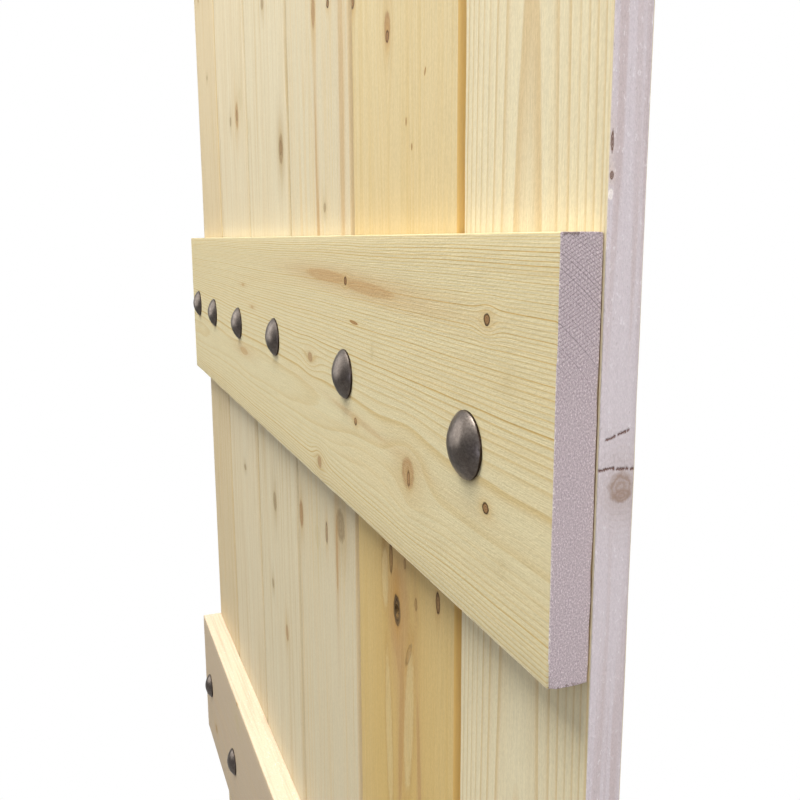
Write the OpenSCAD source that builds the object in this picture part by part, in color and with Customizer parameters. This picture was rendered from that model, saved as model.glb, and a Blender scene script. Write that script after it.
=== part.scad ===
// Board-and-rail barn door slab.
// Vertical tongue-and-groove boards with V joints, four horizontal rails across their
// front, a row of dome-headed nails along each rail, and flat-head wood screws from the
// back through the boards into the rails.
// Millimetres. +Z is up, the front faces -Y. The origin is at the bottom edge, midway
// across the slab and midway through the boards' thickness.

/* [Boards] */
// Height of the slab
door_h = 2134; // [1900:1:2450]
// Thickness of the boards
board_t = 17; // [14:0.5:24]
// Face width of a full board
board_w = 182.5; // [140:0.5:230]
// Number of full-width boards
full_boards = 4; // [2:1:5]
// Face width of the left board, ripped to suit
left_board_w = 154; // [110:1:200]
// Face width of the right board, ripped to suit
right_board_w = 132; // [110:1:200]

/* [Board joints] */
// Width and depth of the bevel on each side of a V joint
bevel = 4.5; // [2:0.25:5]
// Thickness of the tongue
tongue_t = 5; // [3:0.25:6]
// Length of the tongue
tongue_l = 8; // [5:0.5:10]
// Distance of the tongue behind the middle of the board
tongue_set_back = 1.5; // [1:0.25:2]
// Clearance around the tongue in its groove
tongue_gap = 0.4; // [0.2:0.1:0.8]

/* [Rails] */
// Width of a rail, measured up the door
rail_w = 184; // [150:1:230]
// Thickness of the two upper rails
upper_rail_t = 19; // [16:0.5:35]
// Thickness of the two lower rails
lower_rail_t = 27; // [16:0.5:35]
// Distance from the door's bottom edge to the first rail, and from the last to its top
rail_margin = 115.5; // [60:0.5:160]
// Distance of the rails' right ends from the door's right edge
rail_inset_right = 2; // [0:0.5:20]
// Distance of the rails' left ends from the door's left edge
rail_inset_left = 0; // [0:0.5:20]

/* [Dome nails] */
// Diameter of the head
head_d = 34; // [20:0.5:45]
// Height of the head
head_h = 8.5; // [5:0.25:11]
// Height of the straight rim below the dome
rim_h = 1.3; // [0.4:0.1:1.5]
// Diameter of the shank
shank_d = 3.6; // [2.5:0.1:5]
// Length of the shank below the head
shank_l = 15; // [8:0.5:15]

/* [Screws] */
// Diameter of the screw's shank
screw_d = 4.2; // [3.5:0.1:5]
// Diameter of the screw's flat head
screw_head_d = 8.4; // [7.5:0.1:10]
// Length of the screw
screw_l = 30; // [25:0.5:32]
// Depth of the head below the back of the boards
screw_sink = 0.3; // [0.1:0.1:1]
// Clearance around a shank in its hole, for screws and nails
hole_gap = 0.1; // [0.05:0.05:0.3]

/* [Hidden] */
RAIL_NAMES = ["bottom_rail", "lower_rail", "upper_rail", "top_rail"];
rail_count = len(RAIL_NAMES);
board_count = full_boards + 2;
door_w = left_board_w + full_boards * board_w + right_board_w;

// places of the boards, numbered from the left
function board_width(i) = i == 0 ? left_board_w : i == board_count - 1 ? right_board_w : board_w;
function board_left(i) = i == 0 ? -door_w / 2 : board_left(i - 1) + board_width(i - 1);
front_y = -board_t / 2;
back_y = board_t / 2;

// places of the rails, numbered from the bottom
rail_pitch = (door_h - 2 * rail_margin - rail_w) / (rail_count - 1);
rail_left = -door_w / 2 + rail_inset_left;
rail_right = door_w / 2 - rail_inset_right;
function rail_bottom(r) = rail_margin + r * rail_pitch;
function rail_middle(r) = rail_bottom(r) + rail_w / 2;
function rail_t(r) = r < rail_count / 2 ? lower_rail_t : upper_rail_t;

// places of the nails: one a board, set by eye, as a share of the board's width from its
// left side, and as millimetres above the middle of the rail
upper_nail_share = [0.38, 0.19, 0.09, 0.05, 0.21, 0.38];
lower_nail_share = [0.33, 0.47, 0.30, 0.12, 0.24, 0.42];
upper_nail_rise = [3, 0, 1, 3.5, 0, -6.5];
lower_nail_rise = [0, -13, -8, -4, -9, -6];
function nail_share(r, i) = r < rail_count / 2
    ? lower_nail_share[i % len(lower_nail_share)]
    : upper_nail_share[i % len(upper_nail_share)];
function nail_rise(r, i) = r < rail_count / 2
    ? lower_nail_rise[i % len(lower_nail_rise)]
    : upper_nail_rise[i % len(upper_nail_rise)];
function nail_x(r, i) = board_left(i) + board_width(i) * nail_share(r, i);
function nail_z(r, i) = rail_middle(r) + nail_rise(r, i);
tip_l = shank_d;
dome_steps = 12;
dome_rise = head_h - rim_h;
dome_r = ((head_d / 2) * (head_d / 2) + dome_rise * dome_rise) / (2 * dome_rise);
dome_angle = asin(head_d / 2 / dome_r);

// places of the screws: two a board in each rail, set on a slant
screw_rise = rail_w / 3;
screw_step = 30;
screw_tip_l = 2 * screw_d;
head_depth = (screw_head_d - screw_d) / 2;
slot_w = 0.9;
slot_l = screw_head_d / 2;
slot_depth = head_depth * 0.7;
screw_hole_d = screw_d + 2 * hole_gap;
seat_depth = head_depth + screw_sink;
seat_d = screw_hole_d + 2 * seat_depth;
pilot_extra = 0.5;
function screw_x(i, side) = board_left(i) + board_width(i) / 2 + side * screw_step;
function screw_z(r, side) = rail_middle(r) + side * screw_rise;

slack = 1;
round_fn = 48;

function board_node(i) = str("board_", i + 1);
function nail_node(r, i) = str(RAIL_NAMES[r], "_nail_", i + 1);
function screws_node(r) = str(RAIL_NAMES[r], "_screws");

// cross-section of a board, from its left face at x = 0; a joined right side has the
// tongue, a joined left side has the groove, and both have the bevel of the V
module board_section(w, joined_left, joined_right) {
    tongue_front = tongue_set_back - tongue_t / 2;
    tongue_back = tongue_set_back + tongue_t / 2;
    groove_l = tongue_l + tongue_gap;
    left_side = joined_left
        ? [
            [bevel, front_y],
            [0, front_y + bevel],
            [0, tongue_front - tongue_gap],
            [groove_l, tongue_front - tongue_gap],
            [groove_l, tongue_back + tongue_gap],
            [0, tongue_back + tongue_gap],
            [0, back_y]
        ]
        : [[0, front_y], [0, back_y]];
    right_side = joined_right
        ? [
            [w, back_y],
            [w, tongue_back],
            [w + tongue_l, tongue_back],
            [w + tongue_l, tongue_front],
            [w, tongue_front],
            [w, front_y + bevel],
            [w - bevel, front_y]
        ]
        : [[w, back_y], [w, front_y]];
    polygon(concat(left_side, right_side));
}

// clearance hole and countersink for one screw, from the back through a board
module screw_hole() {
    rotate([90, 0, 0])
        translate([0, 0, -slack])
            cylinder(d = screw_hole_d, h = board_t + 2 * slack, $fn = round_fn);
    rotate([90, 0, 0])
        cylinder(d1 = seat_d, d2 = screw_hole_d, h = seat_depth, $fn = round_fn);
    rotate([-90, 0, 0])
        cylinder(d = seat_d, h = slack, $fn = round_fn);
}

module board(i) {
    color("burlywood")
        difference() {
            translate([board_left(i), 0, 0])
                linear_extrude(height = door_h)
                    board_section(board_width(i), i > 0, i < board_count - 1);
            for (r = [0 : rail_count - 1])
                for (side = [-1, 1])
                    translate([screw_x(i, side), back_y, screw_z(r, side)])
                        screw_hole();
        }
}

// plain board across the front, with a pilot hole for each nail and each screw
module rail(r) {
    screw_reach = screw_sink + screw_l - board_t + pilot_extra;
    color("moccasin")
        difference() {
            translate([rail_left, front_y - rail_t(r), rail_bottom(r)])
                cube([rail_right - rail_left, rail_t(r), rail_w]);
            for (i = [0 : board_count - 1]) {
                translate([nail_x(r, i), front_y - rail_t(r) - slack, nail_z(r, i)])
                    rotate([-90, 0, 0])
                        cylinder(
                            d = shank_d + 2 * hole_gap,
                            h = slack + shank_l + pilot_extra,
                            $fn = round_fn
                        );
                for (side = [-1, 1])
                    translate([screw_x(i, side), front_y + slack, screw_z(r, side)])
                        rotate([90, 0, 0])
                            cylinder(d = screw_hole_d, h = slack + screw_reach, $fn = round_fn);
            }
        }
}

// nail turned about its own axis: pointed shank, flat underside, straight rim, dome
module dome_nail() {
    rotate([90, 0, 0])
        rotate_extrude($fn = 2 * round_fn)
            polygon(concat(
                [
                    [0, -shank_l],
                    [shank_d / 2, tip_l - shank_l],
                    [shank_d / 2, 0],
                    [head_d / 2, 0]
                ],
                [for (k = [0 : dome_steps - 1])
                    let (a = dome_angle * (1 - k / dome_steps))
                    [dome_r * sin(a), head_h - dome_r * (1 - cos(a))]],
                [[0, head_h]]
            ));
}

module nail(r, i) {
    color("dimgray")
        translate([nail_x(r, i), front_y - rail_t(r), nail_z(r, i)])
            dome_nail();
}

// screw turned about its own axis, with a cross cut in its flat head
module wood_screw() {
    rotate([90, 0, 0])
        difference() {
            rotate_extrude($fn = round_fn)
                polygon([
                    [0, 0],
                    [screw_head_d / 2, 0],
                    [screw_d / 2, head_depth],
                    [screw_d / 2, screw_l - screw_tip_l],
                    [0, screw_l]
                ]);
            for (turn = [0, 90])
                rotate([0, 0, turn])
                    translate([-slot_l / 2, -slot_w / 2, -slack])
                        cube([slot_l, slot_w, slack + slot_depth]);
        }
}

module rail_screws(r) {
    color("silver")
        for (i = [0 : board_count - 1])
            for (side = [-1, 1])
                translate([screw_x(i, side), back_y - screw_sink, screw_z(r, side)])
                    wood_screw();
}

for (i = [0 : board_count - 1])
    board(i);
for (r = [0 : rail_count - 1]) {
    rail(r);
    rail_screws(r);
    for (i = [0 : board_count - 1])
        nail(r, i);
}
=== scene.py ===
"""Looks of a board-and-rail barn door slab in raw knotty pine.

Six tongue-and-groove boards stand side by side with V joints between them, four rails
lie across their front, a dome-headed nail holds each rail over each board, and wood
screws come through the boards from the back.  Every board, rail and nail is built here
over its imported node, in metres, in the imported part's own frame: +Z is up and the front
faces -Y.
"""

import logging
import math
from dataclasses import dataclass, field
from enum import Enum

import bmesh
import bpy
import numpy as np
from mathutils import Matrix, Vector


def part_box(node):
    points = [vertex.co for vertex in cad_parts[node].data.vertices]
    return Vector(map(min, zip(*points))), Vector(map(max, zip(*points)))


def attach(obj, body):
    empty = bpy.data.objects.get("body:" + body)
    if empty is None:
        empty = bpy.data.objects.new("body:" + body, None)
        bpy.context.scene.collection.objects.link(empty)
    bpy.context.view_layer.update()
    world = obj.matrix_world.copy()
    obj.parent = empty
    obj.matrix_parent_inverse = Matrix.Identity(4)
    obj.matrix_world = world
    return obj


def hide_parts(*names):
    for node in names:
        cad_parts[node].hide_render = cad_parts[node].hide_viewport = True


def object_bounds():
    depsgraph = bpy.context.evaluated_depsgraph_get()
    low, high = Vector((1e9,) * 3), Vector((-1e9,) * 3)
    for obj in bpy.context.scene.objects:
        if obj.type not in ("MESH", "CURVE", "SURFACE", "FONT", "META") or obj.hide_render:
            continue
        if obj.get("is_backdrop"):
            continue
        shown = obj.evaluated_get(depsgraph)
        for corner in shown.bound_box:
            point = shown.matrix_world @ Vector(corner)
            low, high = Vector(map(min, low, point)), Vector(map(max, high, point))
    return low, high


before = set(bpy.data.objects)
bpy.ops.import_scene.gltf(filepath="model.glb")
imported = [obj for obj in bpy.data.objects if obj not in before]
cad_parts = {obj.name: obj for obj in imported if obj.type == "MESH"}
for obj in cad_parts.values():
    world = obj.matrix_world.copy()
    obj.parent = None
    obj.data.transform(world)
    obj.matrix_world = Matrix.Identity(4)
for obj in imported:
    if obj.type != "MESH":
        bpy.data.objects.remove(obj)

log = logging.getLogger("barn_door")

MM = 0.001
BODY = "root"
TINY = 1e-9
NOISE_HEIGHTS = 4096
END_REACH = 0.00035  # a face whose middle is this close to an end counts as end grain
END_RELIEF = 0.00012
EYE_FROM_RAIL = (0.2883, -0.1722, -0.0023)

Array = np.ndarray
Colour = tuple[float, float, float]
Socket = bpy.types.NodeSocket
Feed = bpy.types.NodeSocket | float | tuple


# ---------------------------------------------------------------------------------------
# Choices
# ---------------------------------------------------------------------------------------


class Lie(Enum):
    """Which way a timber's grain runs: up the door for boards, across it for rails.

    The value lists the axes of a section's first side, its second side and its length.
    The three follow each other in turn, so a loop drawn counterclockwise faces out.
    """

    UPRIGHT = (0, 1, 2)
    LEVEL = (1, 2, 0)


class Surface(Enum):
    """The kinds of surface on a timber, by material slot."""

    FACE = 0
    BEVEL = 1
    EDGE = 2
    END = 3


class Mark(Enum):
    """What a mark in the wood is."""

    LIVE = "live knot, grown into the wood round it"
    DEAD = "dead knot with a dark bark rim"
    PIN = "pin knot"
    HOLE = "open knot hole with resin round it"
    STREAK = "soft red-brown streak"
    POCKET = "thin resin pocket"
    SMUDGE = "grey handling mark"
    PALE = "pale figured patch"
    EYE = "closed ring of grain over a hidden knot"
    SOFT = "overgrown knot, soft at its edges"
    HEART = "large golden patch of resinous wood"
    # This mark paints the shadow in the crevice at a rail's end as a dark line with a golden strip beside it;
    # on a sawn edge it also gives small dark marks.
    GRIME_AND_SHADOW = "dark line of dust in a crevice"
    CHIP = "pale chip out of an arris"
    BUTT = "knot cut across, grey-brown with fine rings"


# ---------------------------------------------------------------------------------------
# Mesh helpers
# ---------------------------------------------------------------------------------------


def smooth_noise(at: Array, period: float, seed: int) -> Array:
    """Smooth random values along a line.

    A random height stands at every whole number of periods, and a value between two of
    them is their blend by 3t^2 - 2t^3 of the share t of the way.

    Args:
        at: places along the line.
        period: distance between two random heights, in the unit of at.
        seed: number that picks the heights.

    Returns:
        Values from 0 to 1, in the shape of at.
    """
    heights = np.random.default_rng(seed).random(NOISE_HEIGHTS)
    place = np.asarray(at, float) / period
    below = np.floor(place)
    share = place - below
    share = share * share * (3.0 - 2.0 * share)
    index = below.astype(int) % (NOISE_HEIGHTS - 1)
    return heights[index] * (1.0 - share) + heights[index + 1] * share


def graded_lines(low: float, high: float, step: float, spots: list[tuple[float, Array]]) -> Array:
    """Grid lines between two limits, close together round given spots.

    Args:
        low: first line.
        high: last line.
        step: widest distance between lines.
        spots: centre and rising offsets, from 0, of the lines wanted on both its sides.

    Returns:
        Rising places of the lines, from low to high.
    """
    close = [np.concatenate([centre - reach[::-1], centre + reach]) for centre, reach in spots]
    count = max(2, int(math.ceil((high - low) / step)) + 1)
    even = np.linspace(low, high, count)
    for centre, reach in spots:
        even = even[np.abs(even - centre) > reach[-1] + 0.3 * step]
    lines = np.concatenate([even, *close]) if close else even
    lines = lines[(lines > low) & (lines < high)]
    lines = np.unique(np.round(np.concatenate([[low], lines, [high]]), 7))
    keep = np.concatenate([[True], np.diff(lines) > 2e-5])
    return lines[keep]


def step_between(low: float, high: float, at: Array) -> Array:
    """Rises from 0 at low to 1 at high by 3t^2 - 2t^3 of the share t of the way.

    Args:
        low: place of the foot.
        high: place of the head; it may be below low.
        at: places to work it out for.

    Returns:
        Values from 0 to 1.
    """
    share = np.clip((at - low) / (high - low), 0.0, 1.0)
    return share * share * (3.0 - 2.0 * share)


def round_off(a: Array, b: Array, inner: float, outer: float) -> tuple[Array, Array, Array]:
    """Turns the squares of a grid round a centre into circles.

    A point on the square of half side m, at distance e from the centre, is scaled by
    m / e, which puts it on the circle of radius m.  The scaling fades out from the inner
    to the outer half side, where the grid is square again.

    Args:
        a: distances from the centre one way.
        b: distances from the centre the other way.
        inner: half side up to which the squares are circles.
        outer: half side from which they are squares.

    Returns:
        The moved a and b, and each point's half side m.
    """
    half = np.maximum(np.abs(a), np.abs(b))
    reach = np.hypot(a, b)
    circle = np.where(reach > TINY, half / np.maximum(reach, TINY), 1.0)
    scale = 1.0 + (circle - 1.0) * step_between(outer, inner, half)
    return a * scale, b * scale, half


def make_mesh(name: str, points: Array, loops: Array, starts: Array, slots: Array) -> bpy.types.Object:
    """Puts whole arrays into a mesh object at the origin and shades it smooth.

    Args:
        name: name of the piece.
        points: vertices, one row each.
        loops: vertex numbers of all faces, one face after the other.
        starts: where each face starts in loops.
        slots: material slot of each face.

    Returns:
        The new object, linked to the scene.
    """
    mesh = bpy.data.meshes.new(name)
    mesh.vertices.add(len(points))
    mesh.vertices.foreach_set("co", points.astype(np.float32).ravel())
    mesh.loops.add(len(loops))
    mesh.loops.foreach_set("vertex_index", loops.astype(np.int32))
    mesh.polygons.add(len(starts))
    mesh.polygons.foreach_set("loop_start", starts.astype(np.int32))
    mesh.polygons.foreach_set("material_index", slots.astype(np.int32))
    mesh.polygons.foreach_set("use_smooth", np.ones(len(starts), bool))
    mesh.update(calc_edges=True)
    mesh.validate()
    piece = bpy.data.objects.new(name, mesh)
    bpy.context.scene.collection.objects.link(piece)
    return piece


def tube_faces(stations: int, columns: int) -> Array:
    """Quads of a grid that closes on itself across its columns.

    Args:
        stations: number of loops, one after the other.
        columns: points in each loop.

    Returns:
        One row of four vertex numbers for each quad, station by station.
    """
    row = np.arange(stations - 1)[:, None] * columns
    here = np.arange(columns)[None, :]
    there = (here + 1) % columns
    quads = np.stack([row + here, row + there, row + columns + there, row + columns + here], -1)
    return quads.reshape(-1, 4)


# ---------------------------------------------------------------------------------------
# Timber geometry
# ---------------------------------------------------------------------------------------


@dataclass
class Outline:
    """A timber's section as a closed counterclockwise loop of points."""

    first: list[Array] = field(default_factory=list)
    second: list[Array] = field(default_factory=list)
    kinds: list[Array] = field(default_factory=list)
    arris: list[Array] = field(default_factory=list)
    corners: int = 0

    def add(self, first: Array, second: Array, kind: Surface, arris: int = 0) -> None:
        """Adds points.

        Args:
            first: their first coordinates.
            second: their second coordinates.
            kind: surface that they count as.
            arris: number of their arris, 0 for none.
        """
        self.first.append(first)
        self.second.append(second)
        self.kinds.append(np.full(len(first), kind.value))
        self.arris.append(np.full(len(first), arris))

    def run(
        self, start: tuple[float, float], end: tuple[float, float], kind: Surface, stops: Array
    ) -> None:
        """Adds the points inside a straight side, its ends left out.

        Args:
            start: corner that the side leaves.
            end: corner that it reaches.
            kind: surface that the side is.
            stops: rising shares of the way, from 0 to 1.
        """
        first = start[0] + (end[0] - start[0]) * stops
        second = start[1] + (end[1] - start[1]) * stops
        self.add(first, second, kind)

    def corner(
        self,
        at: tuple[float, float],
        before: tuple[float, float],
        after: tuple[float, float],
        radius: float,
        kind: Surface,
        points: int = 3,
    ) -> None:
        """Adds a rounded corner: from radius short of it, by a quadratic curve through
        at as its control point, to radius past it.

        Args:
            at: the sharp corner.
            before: a point on the side that arrives.
            after: a point on the side that leaves.
            radius: distance of the curve's ends from the corner.
            kind: surface that the corner counts as.
            points: how many points the curve gets.
        """
        self.corners += 1
        tip = np.array(at)
        back = np.array(before) - tip
        ahead = np.array(after) - tip
        start = tip + back / np.linalg.norm(back) * radius
        end = tip + ahead / np.linalg.norm(ahead) * radius
        t = np.linspace(0.0, 1.0, points)[:, None]
        curve = (1 - t) ** 2 * start + 2 * t * (1 - t) * tip + t * t * end
        self.add(curve[:, 0], curve[:, 1], kind, self.corners)

    def arrays(self) -> tuple[Array, Array, Array, Array]:
        """Joins the parts.

        Returns:
            First and second coordinates, surface of the face that leaves each point, and
            the number of the arris each point belongs to, 0 for none.
        """
        return (
            np.concatenate(self.first),
            np.concatenate(self.second),
            np.concatenate(self.kinds),
            np.concatenate(self.arris),
        )


@dataclass(frozen=True)
class Wear:
    """How crisp or knocked a timber's edges are, in metres.

    The periods are those of the noises that the wander, the nicks, where nicks are, the
    fraying of the ends and the torn places follow.
    """

    wander: float = 0.00035
    nick: float = 0.0009
    nick_share: float = 0.10
    end_ease: float = 0.0005
    torn: float = 0.0011
    wander_period: float = 0.045
    nick_period: float = 0.0035
    rare_period: float = 0.030
    fray_period: float = 0.0016
    torn_period: float = 0.011
    seed: int = 1


def worn_arrises(
    first: Array, second: Array, arris: Array, along: Array, wear: Wear
) -> tuple[Array, Array]:
    """Presses the arrises of a grid of loops inwards by an uneven amount.

    The amount along an arris is a slow wander plus short nicks, where a fast noise
    passes a limit, and it acts at the middle of the rounding, half as much at its ends.

    Args:
        first: first coordinates, one row a station.
        second: second coordinates, one row a station.
        arris: number of each column's arris, 0 for none.
        along: place of each station.
        wear: how worn the timber is.

    Returns:
        The moved first and second coordinates.
    """
    for number in range(1, int(arris.max()) + 1):
        columns = np.flatnonzero(arris == number)
        tip = columns[len(columns) // 2]
        before, after = columns[0], columns[-1]
        middle_first = (first[:, before] + first[:, after]) / 2
        middle_second = (second[:, before] + second[:, after]) / 2
        inward_first = middle_first - first[:, tip]
        inward_second = middle_second - second[:, tip]
        length = np.maximum(np.hypot(inward_first, inward_second), TINY)
        seed = wear.seed * 97 + number
        slow = smooth_noise(along, wear.wander_period, seed) * wear.wander
        fast = smooth_noise(along, wear.nick_period, seed + 31)
        rare = smooth_noise(along, wear.rare_period, seed + 57)
        nicks = step_between(1.0 - wear.nick_share, 1.0, rare) * step_between(0.35, 0.9, fast) * wear.nick
        press = slow + nicks
        shares = np.where(columns == tip, 1.0, 0.45)
        first[:, columns] += (inward_first / length * press)[:, None] * shares
        second[:, columns] += (inward_second / length * press)[:, None] * shares
    return first, second


@dataclass(frozen=True)
class Pit:
    """A round hollow in a timber's face, in metres: a screw's seat or a knot hole.

    The profile lists rising radii and the depth at each, falling to 0 at its rim.
    """

    across: float
    along: float
    radii: tuple[float, ...]
    depths: tuple[float, ...]

    def lines(self) -> Array:
        """Offsets of the grid lines wanted on each side of the centre."""
        rim = self.radii[-1]
        return np.array([0.0, 0.25 * self.radii[1], *self.radii[1:], rim * 1.4, rim * 1.9])

    def press(self, across: Array, depth: Array, along: Array, inward: float) -> tuple[Array, Array, Array]:
        """Sinks the grid points of a face round the pit's centre.

        The grid's squares become circles, and each point goes in by the profile's depth
        at its radius.

        Args:
            across: coordinates across the face.
            depth: coordinates through the timber.
            along: coordinates along the grain.
            inward: sign of the way into the timber.

        Returns:
            The three moved coordinates.
        """
        rim = self.radii[-1]
        a, b, half = round_off(across - self.across, along - self.along, rim * 1.05, rim * 1.9)
        sunk = np.interp(half, self.radii, self.depths)
        return self.across + a, depth + inward * sunk, self.along + b


@dataclass
class Timber:
    """A sawn and planed length of wood: the shared building of boards and rails."""

    node: str
    low: Vector
    high: Vector
    lie: Lie
    wear: Wear
    slot: str

    def end_stations(self, at: float, way: float, spots: list[tuple[float, Array]], step: float) -> Array:
        """Places of the loops along the grain, close together at both sawn ends.

        Args:
            at: first end.
            way: length to the other end.
            spots: centres and offsets of the places that need more.
            step: widest distance between loops.

        Returns:
            Rising places, with the two ends left out.
        """
        margin = 0.004
        ends = np.array([0.0014, 0.0019, 0.0026])
        inner = graded_lines(at + margin, at + way - margin, step, spots)
        return np.concatenate([at + ends, inner, at + way - ends[::-1]])

    def sweep(
        self,
        outline: Outline,
        stations: Array,
        ends: tuple[float, float],
        pits: list[tuple[Pit, float, float]],
        close_to_line: bool,
    ) -> bpy.types.Object:
        """Carries the outline along the grain and closes both ends.

        The loop at each station is the outline with its arrises worn.  At each end the
        last loops run round a quarter circle whose radius differs from point to point,
        larger where the saw has torn the fibres out, and press inwards along the
        outline's own outward directions.

        Args:
            outline: the section.
            stations: rising places of the loops between the eased ends.
            ends: places of the two end faces.
            pits: hollows, each with the depth coordinate of its face and the sign of
                the way in.
            close_to_line: whether the ends close by loops drawn in towards the
                section's middle line, which needs a plain rectangle, or by one face.

        Returns:
            The finished piece.
        """
        first, second, kinds, arris = outline.arrays()
        count = len(first)
        base_first = np.repeat(first[None, :], len(stations), 0)
        base_second = np.repeat(second[None, :], len(stations), 0)
        along = np.repeat(stations[:, None], count, 1)
        upright = self.lie is Lie.UPRIGHT
        for pit, face, inward in pits:
            across, depth = (base_first, base_second) if upright else (base_second, base_first)
            on_face = np.abs((second if upright else first) - face) < 1e-5
            moved = pit.press(across[:, on_face], depth[:, on_face], along[:, on_face], inward)
            across[:, on_face], depth[:, on_face], along[:, on_face] = moved
        base_first, base_second = worn_arrises(base_first, base_second, arris, stations, self.wear)
        normal_first, normal_second = self.outward(first, second)
        step_first = np.diff(first, prepend=first[:1])
        step_second = np.diff(second, prepend=second[:1])
        perimeter = np.cumsum(np.hypot(step_first, step_second))
        turns = np.radians([0.0, 22.0, 45.0, 68.0, 90.0])
        tail_first, tail_second, tail_along = [], [], []
        for number, (end, side) in enumerate(((ends[0], -1.0), (ends[1], 1.0))):
            seed = self.wear.seed * 131 + number
            rough = smooth_noise(perimeter, self.wear.fray_period, seed)
            patch = smooth_noise(perimeter, self.wear.torn_period, seed + 7)
            radius = self.wear.end_ease * (0.55 + 0.9 * rough)
            radius = radius + self.wear.torn * step_between(0.62, 1.0, patch) * rough
            row = 0 if side < 0 else -1
            start_first, start_second = base_first[row], base_second[row]
            order = turns[::-1] if side < 0 else turns
            for turn in order[:-1] if side < 0 else order[1:]:
                press = radius * (1.0 - math.cos(turn))
                reach = radius * (1.0 - math.sin(turn))
                tail_first.append(start_first - normal_first * press)
                tail_second.append(start_second - normal_second * press)
                tail_along.append(end - side * reach)
        quarter = len(turns) - 1
        loops_first = np.vstack([tail_first[:quarter], base_first, tail_first[quarter:]])
        loops_second = np.vstack([tail_second[:quarter], base_second, tail_second[quarter:]])
        loops_along = np.vstack([tail_along[:quarter], along, tail_along[quarter:]])
        if close_to_line:
            loops_first, loops_second, loops_along = self.draw_in(loops_first, loops_second, loops_along)
        return self.assemble(loops_first, loops_second, loops_along, kinds, ends)

    @staticmethod
    def outward(first: Array, second: Array) -> tuple[Array, Array]:
        """Outward unit directions of a counterclockwise loop: each neighbour-to-neighbour
        step turned a quarter clockwise.

        Args:
            first: first coordinates.
            second: second coordinates.

        Returns:
            First and second parts of the directions.
        """
        step_first = np.roll(first, -1) - np.roll(first, 1)
        step_second = np.roll(second, -1) - np.roll(second, 1)
        length = np.maximum(np.hypot(step_first, step_second), TINY)
        return step_second / length, -step_first / length

    def draw_in(self, first: Array, second: Array, along: Array) -> tuple[Array, Array, Array]:
        """Adds loops over both end faces, drawn in to the middle line of a rectangle.

        At share s, the thin way shrinks by 1 - s and the wide way by the same distance,
        so that the last loop lies on the middle line.  The face between is roughened by
        a little noise.

        Args:
            first: thin way of the loops, one row a station.
            second: wide way.
            along: way along the grain.

        Returns:
            The three arrays with the end loops added.
        """
        shares = np.array([0.06, 0.16, 0.3, 0.45, 0.6, 0.75, 0.9, 1.0])[:, None]
        half_thin = (self.high[1] - self.low[1]) / 2
        half_wide = (self.high[2] - self.low[2]) / 2
        thin_middle = (self.high[1] + self.low[1]) / 2
        wide_middle = (self.high[2] + self.low[2]) / 2
        grown = []
        for row, side in ((0, -1.0), (-1, 1.0)):
            thin = thin_middle + (first[row] - thin_middle) * (1.0 - shares)
            wide = wide_middle + (second[row] - wide_middle) * (1.0 - shares * half_thin / half_wide)
            relief = smooth_noise(wide + thin * 0.7, 0.004, self.wear.seed + 900)
            sunk = along[row] - side * END_RELIEF * relief * (shares < 1.0)
            grown.append((thin, wide, sunk))
        (thin_a, wide_a, along_a), (thin_b, wide_b, along_b) = grown
        return (
            np.vstack([thin_a[::-1], first, thin_b]),
            np.vstack([wide_a[::-1], second, wide_b]),
            np.vstack([along_a[::-1], along, along_b]),
        )

    def assemble(
        self, first: Array, second: Array, along: Array, kinds: Array, ends: tuple[float, float]
    ) -> bpy.types.Object:
        """Makes the mesh of the loops, with one face over each open end, and merges the
        points that meet on a middle line.

        Args:
            first: first coordinates, one row a loop.
            second: second coordinates.
            along: coordinates along the grain.
            kinds: surface of each column of quads.
            ends: places of the two end faces.

        Returns:
            The piece.
        """
        rows, columns = first.shape
        points = np.empty((rows * columns, 3))
        axes = self.lie.value
        points[:, axes[0]] = first.ravel()
        points[:, axes[1]] = second.ravel()
        points[:, axes[2]] = along.ravel()
        quads = tube_faces(rows, columns)
        slots = np.tile(kinds, rows - 1)
        middle = along.reshape(-1)[quads].mean(1)
        at_end = np.minimum(np.abs(middle - ends[0]), np.abs(middle - ends[1])) < END_REACH
        slots = np.where(at_end, Surface.END.value, slots)
        last = (rows - 1) * columns + np.arange(columns)
        loops = np.concatenate([quads.ravel(), np.arange(columns)[::-1], last])
        starts = np.concatenate([np.arange(len(quads)) * 4, [len(quads) * 4, len(quads) * 4 + columns]])
        slots = np.concatenate([slots, [Surface.END.value] * 2])
        piece = make_mesh(self.node + "_wood", points, loops, starts, slots)
        self.merge(piece)
        return piece

    @staticmethod
    def merge(piece: bpy.types.Object) -> None:
        """Joins points that coincide, drops faces without area and marks the crisp
        edges.

        Args:
            piece: the object to tidy.
        """
        work = bmesh.new()
        work.from_mesh(piece.data)
        bmesh.ops.remove_doubles(work, verts=work.verts, dist=1e-6)
        bmesh.ops.dissolve_degenerate(work, edges=work.edges, dist=1e-7)
        work.to_mesh(piece.data)
        work.free()
        piece.data.set_sharp_from_angle(angle=math.radians(32.0))

    def dress(self, piece: bpy.types.Object, finish: "PineFinish") -> None:
        """Gives the piece its four wood materials and sets it on the part's body.

        Args:
            piece: the timber's object.
            finish: what its wood looks like.
        """
        for material in finish.materials():
            piece.data.materials.append(material)
        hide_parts(self.node)
        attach(piece, BODY)
        log.info("%s: %d faces", piece.name, len(piece.data.polygons))


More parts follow.
